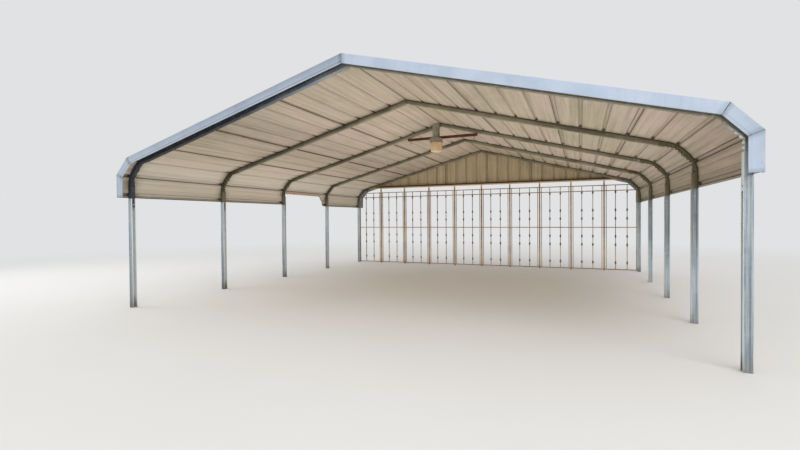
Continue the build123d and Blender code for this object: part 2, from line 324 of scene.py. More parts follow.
def turned(profile: Array, sides: int, wave: Array | None = None, marks: Marks | None = None) -> Patch:
    """Profile of radii and heights turned about Z, with flat ends.

    A point is (r cos a, r sin a, z), with r multiplied by the wave at the angle a.

    Args:
        profile: Rows of radius and height.
        sides: Points in each ring.
        wave: Factors on the radius, a row for each profile point, or none.
        marks: A value for each profile point.

    Returns:
        The turned skin.
    """
    angle = np.linspace(0.0, 2 * math.pi, sides, endpoint=False)
    radius = profile[:, :1] * (1.0 if wave is None else wave)
    radius = np.broadcast_to(radius, (len(profile), sides))
    height = np.broadcast_to(profile[:, 1:], (len(profile), sides))
    loops = np.stack([radius * np.cos(angle), radius * np.sin(angle), height], axis=-1)
    around = np.broadcast_to(angle, (len(profile), sides)) * np.max(profile[:, 0])
    uv = np.stack([around, height], axis=-1)
    rings = {name: value[:, None] for name, value in (marks or {}).items()}
    return tube(loops, uv, rings)


def scattered(template: Patch, places: Array, turns: Array) -> Patch:
    """Copies of a small template, each turned and then moved to its place.

    Args:
        template: The shape, at the origin.
        places: One row for each copy.
        turns: One matrix of three rows for each copy, or one for all.

    Returns:
        All the copies in one patch.
    """
    turns = np.broadcast_to(turns, (len(places), 3, 3))
    points = np.einsum("kij,nj->kni", turns, template.points) + places[:, None]
    shift = np.arange(len(places))[:, None, None] * len(template.points)
    faces = [(block[None] + shift).reshape(-1, block.shape[1]) for block in template.faces]
    marks = {name: np.tile(value, len(places)) for name, value in template.marks.items()}
    return Patch(points.reshape(-1, 3), faces, np.tile(template.uv, (len(places), 1)), marks)


def facing(normals: Array) -> Array:
    """Turns that take +Z to each of the unit normals.

    The second row of the frame is the normal crossed with X, or with Y where the normal
    lies near X.

    Args:
        normals: One row for each turn.

    Returns:
        One matrix of three rows for each normal.
    """
    normals = np.asarray(normals, float)
    side = np.where(np.abs(normals[:, :1]) < 0.9, [[1.0, 0.0, 0.0]], [[0.0, 1.0, 0.0]])
    second = unit(np.cross(normals, side))
    first = np.cross(second, normals)
    return np.stack([first, second, normals], axis=2)


def hex_head(flats: float, height: float, washer: float, seat: float = 0.0016) -> Patch:
    """Six-sided head on a round washer, standing on the plane of X and Y.

    Args:
        flats: Width across the flats.
        height: Of the head above the washer.
        washer: Radius of the washer.
        seat: Thickness of the washer.

    Returns:
        Washer and head.
    """
    corner = flats / math.sqrt(3)
    disc = np.array([[washer * 0.97, 0.0], [washer, seat * 0.5], [washer * 0.9, seat]])
    head = np.array([[corner, seat * 0.8], [corner, seat + height * 0.8], [corner * 0.82, seat + height]])
    low = turned(disc, 12, marks={"rubber": np.array([1.0, 0.6, 0.0])})
    return joined([low, turned(head, 6, marks={"rubber": np.zeros(3)})])


# Materials


class Graph:
    """A material's nodes, built by short calls on its principled shader."""

    def __init__(self, name: str) -> None:
        """Starts a material with one principled shader.

        Args:
            name: Of the material.
        """
        self.material = bpy.data.materials.new(name)
        self.material.use_nodes = True
        self.tree = self.material.node_tree
        self.shader = self.tree.nodes["Principled BSDF"]

    def feed(self, socket: Any, value: Any) -> None:
        """Links a socket to another or gives it a constant.

        Args:
            socket: The input.
            value: Another socket, or the constant.
        """
        if isinstance(value, bpy.types.NodeSocket):
            self.tree.links.new(value, socket)
        else:
            socket.default_value = value

    def add(self, kind: str, inputs: dict[Any, Any] | None = None, **options: Any) -> Any:
        """Adds a node.

        Args:
            kind: The node's type, without its ShaderNode start.
            inputs: Values or links by the name or number of an input.
            options: Properties of the node.

        Returns:
            The node.
        """
        node = self.tree.nodes.new("ShaderNode" + kind)
        for name, value in options.items():
            setattr(node, name, value)
        for key, value in (inputs or {}).items():
            self.feed(node.inputs[key], value)
        return node

    def place(self, scale: Sequence[float] = (1, 1, 1)) -> Any:
        """Object coordinates, scaled."""
        source = self.add("TexCoord").outputs["Object"]
        return self.add("Mapping", {"Vector": source, "Scale": scale}).outputs["Vector"]

    def mark(self, name: str) -> Any:
        """A named value of the mesh's points, 0 where it has none."""
        return self.add("Attribute", attribute_name=name).outputs["Fac"]

    def axis(self, name: str) -> Any:
        """One object coordinate, in metres."""
        split = self.add("SeparateXYZ", {"Vector": self.add("TexCoord").outputs["Object"]})
        return split.outputs[name]

    def noise(
        self, vector: Any, scale: float, detail: float = 3.0, rough: float = 0.55, bend: float = 0.0
    ) -> Any:
        """Cloudy values of about 0.3 to 0.7."""
        inputs = {"Vector": vector, "Scale": scale, "Detail": detail, "Roughness": rough, "Distortion": bend}
        return self.add("TexNoise", inputs).outputs["Fac"]

    def cells(self, vector: Any, scale: float) -> Any:
        """A random value of 0 to 1 for each cell."""
        colour = self.add("TexVoronoi", {"Vector": vector, "Scale": scale}).outputs["Color"]
        return self.add("SeparateColor", {"Color": colour}).outputs[0]

    def ramp(self, value: Any, low: float, high: float, start: float = 0.0, end: float = 1.0) -> Any:
        """Rises smoothly from start at low to end at high."""
        inputs = {"Value": value, "From Min": low, "From Max": high, "To Min": start, "To Max": end}
        return self.add("MapRange", inputs, interpolation_type="SMOOTHSTEP").outputs["Result"]

    def sum(self, kind: str, first: Any, second: Any) -> Any:
        """One step of arithmetic, such as MULTIPLY or MAXIMUM."""
        return self.add("Math", {0: first, 1: second}, operation=kind).outputs[0]

    def mix(self, share: Any, first: Any, second: Any) -> Any:
        """Colour between two, the second where the share is 1."""
        return self.add("Mix", {0: share, 6: first, 7: second}, data_type="RGBA").outputs[2]

    def relief(self, height: Any, depth: float, strength: float) -> Any:
        """Normal of a height of 0 to 1 that stands a depth proud."""
        inputs = {"Height": height, "Distance": depth, "Strength": strength}
        return self.add("Bump", inputs).outputs["Normal"]

    def set(self, **values: Any) -> None:
        """Feeds the shader's inputs, named with underscores for spaces."""
        for name, value in values.items():
            self.feed(self.shader.inputs[name.replace("_", " ")], value)


@dataclass(frozen=True)
class Zinc:
    """Galvanised steel, cloudy and streaked, with grime, painted shade, painted highlights and moss where the
    mesh marks them.

    Attributes:
        name: Of the material.
        bright: Clean zinc.
        dull: Weathered zinc.
        grime_and_shade: Dirt that gathers under the sheets, and painted shade.
        moss: Green growth at the knees.
        fresh: Pale zinc in random patches, and painted highlight where the mesh marks it.
        splash: Mud that rain throws up from the ground.
        shine: Share of bare metal in the surface.
        along: Scale of the streaks along X, Y and Z.
    """

    name: str
    bright: Rgb = (186, 196, 202)
    dull: Rgb = (138, 152, 166)
    grime_and_shade: Rgb = (50, 50, 42)
    moss: Rgb = (84, 82, 46)
    fresh: Rgb = (232, 238, 236)
    splash: Rgb = (112, 100, 84)
    shine: float = 0.2
    along: tuple[float, float, float] = (95, 95, 2.2)

    def make(self) -> bpy.types.Material:
        """Builds the material.

        Returns:
            The material.
        """
        g = Graph(self.name)
        place = g.place()
        streak = g.noise(g.place(self.along), 1.0, 5, 0.62)
        cloud = g.noise(place, 2.4, 5, 0.6)
        spangle = g.cells(place, 160)
        worn = g.ramp(g.sum("ADD", g.sum("MULTIPLY", streak, 1.4), g.sum("MULTIPLY", cloud, 0.6)), 0.82, 1.2)
        zinc = g.mix(worn, srgb(*self.bright), srgb(*self.dull))
        zinc = g.mix(g.ramp(spangle, 0.0, 1.0, 0.0, 0.12), zinc, srgb(*self.bright))
        band = g.noise(g.place((4, 4, 16)), 1.0, 3)
        zinc = g.mix(g.ramp(band, 0.5, 0.68, 0.0, 0.4), zinc, srgb(*self.bright))
        white = g.ramp(g.noise(place, 14, 6, 0.7), 0.6, 0.74, 0.0, 0.3)
        # Pale zinc in random patches, and a painted highlight where the mesh marks it.
        zinc = g.mix(g.sum("MAXIMUM", white, g.mark("fresh")), zinc, srgb(*self.fresh))
        splash = g.sum("MULTIPLY", g.ramp(g.axis("Z"), 0.16, 0.0), g.ramp(cloud, 0.35, 0.6))
        zinc = g.mix(g.sum("MULTIPLY", splash, 0.65), zinc, srgb(*self.splash))
        # Dirt and painted shade where the mesh marks them.
        dirt = g.sum("MULTIPLY", g.mark("soil"), g.ramp(g.noise(place, 22, 5, 0.7), 0.18, 0.5, 0.55, 1.0))
        zinc = g.mix(dirt, zinc, srgb(*self.grime_and_shade))
        tuft = g.ramp(g.noise(place, 26, 5, 0.65, 0.4), 0.34, 0.52, 0.45, 1.0)
        zinc = g.mix(g.sum("MULTIPLY", g.mark("moss"), tuft), zinc, srgb(*self.moss))
        rough = g.sum("ADD", g.ramp(cloud, 0.3, 0.7, 0.36, 0.56), g.sum("MULTIPLY", dirt, 0.3))
        normal = g.relief(g.noise(place, 90, 4, 0.6), 0.0006, 0.35)
        g.set(Base_Color=zinc, Metallic=self.shine, Roughness=rough, Normal=normal)
        return g.material


@dataclass(frozen=True)
class SheetPaint:
    """Baked paint on ribbed sheet: chalky and patchy below, faded by the sky above.

    The marks give the dirt and painted shade, which rain keeps down on the upper side, the
    rust and the painted light on the left slope.

    Attributes:
        name: Of the material.
        base: Paint as it shows from below.
        warm: Its pinkish patches.
        cool: Its olive patches.
        upper: Faded paint on the side of the sky.
        worn: Patches of the faded paint.
        soil: Dirt, and painted shade in the hollows and laps.
        dusty: Darker streaks.
        chalky: Lighter streaks.
        pale: Painted light on the left slope, where daylight reaches it from the side.
        rust: Along the torn edge.
        along: Scale of the fine streaks along X, Y and Z.
    """

    name: str
    base: Rgb = (196, 180, 156)
    warm: Rgb = (208, 185, 166)
    cool: Rgb = (176, 166, 132)
    upper: Rgb = (190, 188, 178)
    worn: Rgb = (160, 156, 142)
    soil: Rgb = (44, 34, 24)
    dusty: Rgb = (122, 108, 84)
    chalky: Rgb = (222, 212, 194)
    pale: Rgb = (226, 220, 206)
    rust: Rgb = (168, 112, 52)
    along: tuple[float, float, float] = (26, 0.9, 26)

    def make(self) -> bpy.types.Material:
        """Builds the material.

        Returns:
            The material.
        """
        g = Graph(self.name)
        place = g.place()
        patch = g.noise(g.place((0.8, 0.35, 0.8)), 1.6, 4, 0.6, 0.6)
        paint = g.mix(g.ramp(patch, 0.5, 0.66), srgb(*self.base), srgb(*self.warm))
        paint = g.mix(g.ramp(patch, 0.46, 0.32, 0.0, 0.8), paint, srgb(*self.cool))
        streak = g.noise(g.place(self.along), 1.0, 5, 0.65)
        paint = g.mix(g.ramp(streak, 0.42, 0.7, 0.0, 0.34), paint, srgb(*self.dusty))
        paint = g.mix(g.ramp(streak, 0.46, 0.3, 0.0, 0.25), paint, srgb(*self.chalky))
        # Painted light on the left slope, where the mesh marks it.
        paint = g.mix(g.mark("pale"), paint, srgb(*self.pale))
        weather = g.noise(g.place((2.2, 0.5, 2.2)), 2.4, 6, 0.68)
        faded = g.mix(g.ramp(weather, 0.45, 0.7, 0.0, 0.6), srgb(*self.upper), srgb(*self.worn))
        paint = g.mix(g.mark("sky"), paint, faded)
        mottle = g.noise(place, 34, 6, 0.7)
        # Dirt and painted shade where the mesh marks them, less on the sky's side.
        dirt = g.sum("MULTIPLY", g.mark("soil"), g.ramp(mottle, 0.2, 0.55, 0.7, 1.0))
        dirt = g.sum("MULTIPLY", dirt, g.ramp(g.mark("sky"), 0.0, 1.0, 1.0, 0.35))
        paint = g.mix(dirt, paint, srgb(*self.soil))
        rust = g.sum("MULTIPLY", g.mark("rust"), g.ramp(mottle, 0.3, 0.6, 0.3, 1.0))
        paint = g.mix(rust, paint, srgb(*self.rust))
        rough = g.sum("ADD", g.ramp(weather, 0.3, 0.7, 0.42, 0.6), g.sum("MULTIPLY", dirt, 0.25))
        normal = g.relief(mottle, 0.0005, 0.3)
        g.set(Base_Color=paint, Roughness=rough, Normal=normal)
        return g.material


@dataclass(frozen=True)
class TrimPaint:
    """Pale blue-white baked paint on folded trim, with faint streaks down it and painted shade at its seams.

    Attributes:
        name: Of the material.
        base: Clean paint.
        shade: Its cloudy patches.
        streak: Grey that rain leaves.
        soil: Painted shade in the seams, along the crease and on the left slope, and the darkening past the
            knee.
    """

    name: str = "trim paint"
    base: Rgb = (194, 208, 226)
    shade: Rgb = (180, 196, 215)
    streak: Rgb = (164, 172, 180)
    soil: Rgb = (96, 106, 120)

    def make(self) -> bpy.types.Material:
        """Builds the material.

        Returns:
            The material.
        """
        g = Graph(self.name)
        cloud = g.noise(g.place(), 2.6, 4, 0.55)
        streak = g.noise(g.place((26, 4, 3)), 1.0, 5, 0.6)
        paint = g.mix(g.ramp(cloud, 0.35, 0.65), srgb(*self.base), srgb(*self.shade))
        paint = g.mix(g.ramp(streak, 0.5, 0.75, 0.0, 0.22), paint, srgb(*self.streak))
        speck = g.noise(g.place(), 60, 6, 0.75)
        # Painted shade at the seams, the crease and the left slope, and other darkening, where the mesh marks
        # them.
        dirt = g.sum("MULTIPLY", g.mark("soil"), g.ramp(speck, 0.25, 0.55, 0.6, 1.0))
        paint = g.mix(dirt, paint, srgb(*self.soil))
        normal = g.relief(g.noise(g.place(), 8, 3), 0.002, 0.25)
        g.set(Base_Color=paint, Roughness=g.ramp(cloud, 0.3, 0.7, 0.34, 0.48), Normal=normal)
        return g.material


@dataclass(frozen=True)
class IronPaint:
    """Old tan paint on iron bars, worn to rust along the bars and near the ground.

    The header above the bars has painted light along its foot and painted shadow over that, up to the gable.

    Attributes:
        name: Of the material.
        base: Clean paint.
        shade: Its cloudy patches.
        rust: Old rust.
        bright: Newer rust.
        foot: Painted light along the header's foot.
        dark: Painted shadow above that.
        header: Heights between which the bars' paint gives way to the header's.
        split: Heights between which the header's painted light gives way to painted shadow.
    """

    name: str = "iron paint"
    base: Rgb = (164, 138, 94)
    shade: Rgb = (134, 106, 66)
    rust: Rgb = (104, 62, 32)
    bright: Rgb = (150, 84, 44)
    foot: Rgb = (206, 172, 126)
    dark: Rgb = (52, 28, 8)
    header: tuple[float, float] = (1.725, 1.730)
    split: tuple[float, float] = (1.790, 1.796)

    def make(self) -> bpy.types.Material:
        """Builds the material.

        Returns:
            The material.
        """
        g = Graph(self.name)
        place = g.place()
        cloud = g.noise(place, 5, 5, 0.62)
        flake = g.noise(place, 46, 6, 0.72)
        paint = g.mix(g.ramp(cloud, 0.38, 0.62), srgb(*self.base), srgb(*self.shade))
        bare = g.ramp(g.sum("ADD", g.sum("MULTIPLY", cloud, 0.8), g.sum("MULTIPLY", flake, 0.8)), 0.84, 1.0)
        low = g.ramp(g.axis("Z"), 0.3, 0.0, 0.0, 0.5)
        bare = g.sum("MAXIMUM", bare, low)
        rusty = g.mix(g.ramp(flake, 0.35, 0.65), srgb(*self.rust), srgb(*self.bright))
        paint = g.mix(bare, paint, rusty)
        # The header: painted light along its foot, painted shadow above that.
        header = g.mix(g.ramp(g.axis("Z"), *self.split), srgb(*self.foot), srgb(*self.dark))
        paint = g.mix(g.ramp(g.axis("Z"), *self.header), paint, header)
        normal = g.relief(flake, 0.0008, 0.5)
        g.set(Base_Color=paint, Roughness=g.ramp(bare, 0.0, 1.0, 0.5, 0.85), Normal=normal)
        return g.material


@dataclass(frozen=True)
class Timber:
    """Sawn timber with grain along one axis, darker in its checks.

    Attributes:
        name: Of the material.
        base: Colour between the grain lines.
        dark: Colour of the grain and the checks.
        grey: Weathered film over both.
        grain: Scale along X, Y and Z, small along the grain.
    """

    name: str
    base: Rgb
    dark: Rgb
    grey: Rgb
    grain: tuple[float, float, float]

    def make(self) -> bpy.types.Material:
        """Builds the material.

        Returns:
            The material.
        """
        g = Graph(self.name)
        fibre = g.noise(g.place(self.grain), 1.0, 6, 0.62, 0.35)
        rings = g.noise(g.place(tuple(0.25 * part for part in self.grain)), 1.0, 3, 0.5, 1.2)
        ring = g.sum("PINGPONG", g.sum("MULTIPLY", rings, 9.0), 0.5)
        wood = g.mix(g.ramp(fibre, 0.35, 0.65), srgb(*self.base), srgb(*self.dark))
        wood = g.mix(g.ramp(ring, 0.1, 0.45, 0.0, 0.45), wood, srgb(*self.dark))
        wood = g.mix(g.ramp(g.noise(g.place(), 12, 4), 0.4, 0.65, 0.0, 0.6), wood, srgb(*self.grey))
        height = g.sum("ADD", fibre, g.sum("MULTIPLY", ring, -0.4))
        normal = g.relief(height, 0.0015, 0.5)
        g.set(Base_Color=wood, Roughness=g.ramp(fibre, 0.3, 0.7, 0.62, 0.85), Normal=normal)
        return g.material


@dataclass(frozen=True)
class Enamel:
    """Dull stove enamel on pressed metal, dusty in patches and rusty at its rim.

    Attributes:
        name: Of the material.
        base: Clean enamel.
        dust: Dust in cloudy patches.
        rust: Rust along the rim.
    """

    name: str = "canopy enamel"
    base: Rgb = (152, 138, 122)
    dust: Rgb = (168, 150, 134)
    rust: Rgb = (110, 52, 34)

    def make(self) -> bpy.types.Material:
        """Builds the material.

        Returns:
            The material.
        """
        g = Graph(self.name)
        place = g.place()
        cloud = g.noise(place, 14, 5, 0.6)
        paint = g.mix(g.ramp(cloud, 0.38, 0.62), srgb(*self.base), srgb(*self.dust))
        speck = g.noise(place, 120, 5, 0.7)
        bare = g.sum("MULTIPLY", g.mark("rust"), g.ramp(speck, 0.38, 0.55))
        paint = g.mix(bare, paint, srgb(*self.rust))
        normal = g.relief(speck, 0.0004, 0.3)
        g.set(Base_Color=paint, Roughness=g.ramp(cloud, 0.3, 0.7, 0.38, 0.55), Normal=normal)
        return g.material


@dataclass(frozen=True)
class LensPlastic:
    """Ribbed clear plastic gone cream with age, dusty in its flutes.

    Attributes:
        name: Of the material.
        base: Clear parts.
        aged: Yellowed patches.
        dust: Dust in the flutes.
    """

    name: str = "lens plastic"
    base: Rgb = (230, 208, 168)
    aged: Rgb = (214, 187, 143)
    dust: Rgb = (158, 132, 92)

    def make(self) -> bpy.types.Material:
        """Builds the material.

        Returns:
            The material.
        """
        g = Graph(self.name)
        place = g.place()
        cloud = g.noise(place, 16, 4, 0.55)
        plastic = g.mix(g.ramp(cloud, 0.36, 0.64), srgb(*self.base), srgb(*self.aged))
        plastic = g.mix(g.sum("MULTIPLY", g.mark("soil"), 0.4), plastic, srgb(*self.dust))
        g.set(Base_Color=plastic, Roughness=0.28, IOR=1.49, Subsurface_Weight=0.15)
        g.shader.inputs["Subsurface Radius"].default_value = (0.02, 0.016, 0.008)
        return g.material


@dataclass(frozen=True)
class Fastener:
    """Plated screws and bolts with a dark rubber washer and a little rust.

    Attributes:
        name: Of the material.
        plate: Clean plating.
        rust: Specks of rust.
        rubber: Of the washers.
    """

    name: str = "fastener zinc"
    plate: Rgb = (128, 124, 116)
    rust: Rgb = (98, 62, 40)
    rubber: Rgb = (38, 36, 34)

    def make(self) -> bpy.types.Material:
        """Builds the material.

        Returns:
            The material.
        """
        g = Graph(self.name)
        speck = g.noise(g.place(), 240, 4, 0.7)
        metal = g.mix(g.ramp(speck, 0.48, 0.62), srgb(*self.plate), srgb(*self.rust))
        metal = g.mix(g.mark("rubber"), metal, srgb(*self.rubber))
        g.set(Base_Color=metal, Roughness=g.ramp(speck, 0.3, 0.7, 0.35, 0.7), Metallic=0.5)
        return g.material


class Finish(Enum):
    """The finishes of the carport, each with the record's slot that it stands for."""

    # The bows' copies of the zinc are darker than the posts': partly painted shade under the roof, partly
    # weathering.
    POST_ZINC = "galvanised_steel", Zinc("post zinc")
    FRONT_ZINC = "galvanised_steel", Zinc(
        "front bow zinc", (152, 165, 174), (106, 123, 137), (30, 34, 40), (112, 102, 76), shine=0.15,
        along=(2.5, 90, 2.5),
    )
    BOW_ZINC = "galvanised_steel", Zinc(
        "bow zinc", (154, 147, 123), (109, 102, 80), (46, 40, 26), shine=0.1, along=(2.5, 90, 2.5)
    )
    ROOF = "roof_paint", SheetPaint("roof paint")
    CAP = "trim_paint", SheetPaint("cap paint", upper=(198, 200, 198))
    TRIM = "trim_paint", TrimPaint()
    GABLE = "gable_paint", SheetPaint(
        "gable paint", (192, 173, 140), (200, 181, 150), (176, 164, 130), (176, 172, 160), along=(30, 30, 1.2)
    )
    IRON = "iron_paint", IronPaint()
    KNUCKLE = "iron_paint", IronPaint("knuckle paint", (92, 70, 42), (70, 48, 26), (62, 34, 16))
    STAINED = "crosspiece_wood", Timber(
        "stained timber", (118, 50, 12), (58, 26, 6), (120, 62, 20), grain=(3, 90, 90)
    )
    WEATHERED = "board_paint", Timber(
        "weathered timber", (158, 154, 134), (112, 108, 90), (168, 166, 150), grain=(90, 90, 4)
    )
    ENAMEL = "housing_paint", Enamel()
    LENS = "lens_plastic", LensPlastic()
    PLATED = "bolt_zinc", Fastener()

    @property
    def slot(self) -> str:
        """The record's slot."""
        return self.value[0]

    @property
    def material(self) -> bpy.types.Material:
        """The Blender material, made when it is first asked for."""
        found = bpy.data.materials.get(self.value[1].name)
        return found or self.value[1].make()


def put(name: str, patch: Patch, finish: Finish, nodes: Sequence[str] = (), sharp: float = 35.0) -> None:
    """Makes a piece of a patch, which rides on the carport and stands for CAD nodes.

    Args:
        name: Of the piece.
        patch: Its surface, in place.
        finish: Its finish.
        nodes: CAD nodes that it replaces.
        sharp: Angle in degrees from which an edge is shaded sharp.
    """
    mesh = bpy.data.meshes.new(name)
    faces = [face for block in patch.faces for face in block.tolist()]
    mesh.from_pydata(patch.points.tolist(), [], faces)
    corner = np.zeros(len(mesh.loops), np.int64)
    mesh.loops.foreach_get("vertex_index", corner)
    mesh.uv_layers.new(name="metres").data.foreach_set("uv", patch.uv[corner].astype(np.float32).ravel())
    for mark, value in patch.marks.items():
        mesh.attributes.new(mark, "FLOAT", "POINT").data.foreach_set("value", value.astype(np.float32))
    work = bmesh.new()
    work.from_mesh(mesh)
    bmesh.ops.remove_doubles(work, verts=work.verts, dist=1e-6)
    bmesh.ops.recalc_face_normals(work, faces=work.faces)
    work.to_mesh(mesh)
    work.free()
    mesh.shade_smooth()
    mesh.set_sharp_from_angle(angle=math.radians(sharp))
    mesh.materials.append(finish.material)
    piece = bpy.data.objects.new(name, mesh)
    bpy.context.collection.objects.link(piece)
    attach(piece, BODY)
    if nodes:
        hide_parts(*nodes)
    log.info("%s: %d faces, for %s", name, len(mesh.polygons), ", ".join(nodes) or "nothing in the frame")


def dress(frame: dict[str, Any], finish: Finish, *nodes: str) -> None:
    """Gives CAD nodes whose shape is right their finish.

    Args:
        frame: As it was loaded.
        finish: The finish.
        nodes: Names of the nodes.
    """
    for node in nodes:
        frame["nodes"][node].data.materials.clear()
        frame["nodes"][node].data.materials.append(finish.material)
        log.info("%s: %s", node, finish.name.lower())


# The carport's own pieces


@dataclass(frozen=True)
class RoofLine:
    """Line on which the sheets lie, from the ridge over the two bends and down the leg.

    Attributes:
        outer_face: X of the right leg.
        knee_height: Height of the lower bend's corner.
        knee_run: From one bend's corner to the other's, across the bay.
        knee_rise: The same, upwards.
        bend: Radius of both bends.
    """

    outer_face: float = HALF_WIDTH - NEST
    knee_height: float = 1.585
    knee_run: float = 0.170
    knee_rise: float = 0.183
    bend: float = 0.300

    @property
    def upper_bend(self) -> float:
        """Girth from the ridge to the upper bend."""
        return (self.outer_face - self.knee_run) / math.cos(PITCH)

    @property
    def lower_bend(self) -> float:
        """Girth from the ridge to the lower bend."""
        return self.upper_bend + math.hypot(self.knee_run, self.knee_rise)

    @property
    def ridge(self) -> float:
        """Height of the ridge."""
        return self.knee_height + self.knee_rise + (self.outer_face - self.knee_run) * math.tan(PITCH)

    @cached_property
    def bends(self) -> tuple[tuple[float, float], tuple[float, float]]:
        """Girths at which each bend starts and ends.

        Returns:
            Start and end of the upper bend, and of the lower one.
        """
        facet = math.atan2(self.knee_rise, self.knee_run)
        turns = (facet - PITCH, math.pi / 2 - facet)
        reach = [self.bend * math.tan(turn / 2) for turn in turns]
        first = self.upper_bend - reach[0]
        after = first + self.bend * turns[0]
        second = after + math.hypot(self.knee_run, self.knee_rise) - reach[0] - reach[1]
        return (first, after), (second, second + self.bend * turns[1])

    @cached_property
    def table(self) -> Array:
        """Girth, X, Z and slope angle along the line, every half millimetre.

        The angle grows by the girth over the bend's radius inside each bend, and X and Z
        are the running sums of its cosine and minus its sine.

        Returns:
            The four rows.
        """
        girth = np.arange(0.0, 4.2, 0.0005)
        angle = PITCH + sum(np.clip(girth - start, 0, end - start) / self.bend for start, end in self.bends)
        middle = (angle[1:] + angle[:-1]) / 2
        x = np.concatenate([[0.0], np.cumsum(np.cos(middle)) * 0.0005])
        z = self.ridge - np.concatenate([[0.0], np.cumsum(np.sin(middle)) * 0.0005])
        return np.stack([girth, x, z, angle])

    def at(self, girth: Array) -> tuple[Array, Array]:
        """Points and outward normals at places along the line.

        Args:
            girth: Places from the ridge, negative on the left.

        Returns:
            X and Z of the points, and of the normals, in the last axis of each.
        """
        side = np.where(girth < 0, -1.0, 1.0)
        far = np.abs(girth)
        x, z, angle = (np.interp(far, self.table[0], row) for row in self.table[1:])
        ridge = np.where(far < 1e-6, 0.0, 1.0)
        across = side * np.sin(angle) * ridge
        up = np.where(far < 1e-6, 1.0 / math.cos(PITCH), np.cos(angle))
        return np.stack([side * x, z], -1), np.stack([across, up], -1)

    def girth_of(self, z: float) -> float:
        """Girth at which the right leg reaches a height."""
        return float(np.interp(-z, -self.table[2], self.table[0]))


ROOF_LINE = RoofLine()


@dataclass(frozen=True)
class Channel:
    """Section of lipped channel with a groove along each flange.

    Attributes:
        side: Width over the flanges, and depth from the web.
        lip: Length of the turned-in lips.
        groove: Place of the groove from the web, half its width and its depth.
    """

    side: float
    lip: float = 0.012
    groove: tuple[float, float, float] = (0.019, 0.0065, 0.0026)

    def loop(self) -> Array:
        """Closed section as depths from the web and places across, the web at depth 0.

        Returns:
            The outer face from lip to lip, and the inner one back.
        """
        half = self.side / 2
        place, reach, dip = self.groove
        upper = np.array([
            [self.side, half - self.lip],
            [self.side, half],
            [place + reach, half],
            [place, half - dip],
            [place - reach, half],
            [0.0, half],
        ])
        line = rounded(np.vstack([upper, upper[::-1] * [1, -1]]), 0.0035, 2)
        return np.vstack([line, offset_line(line, GAUGE)[::-1]])


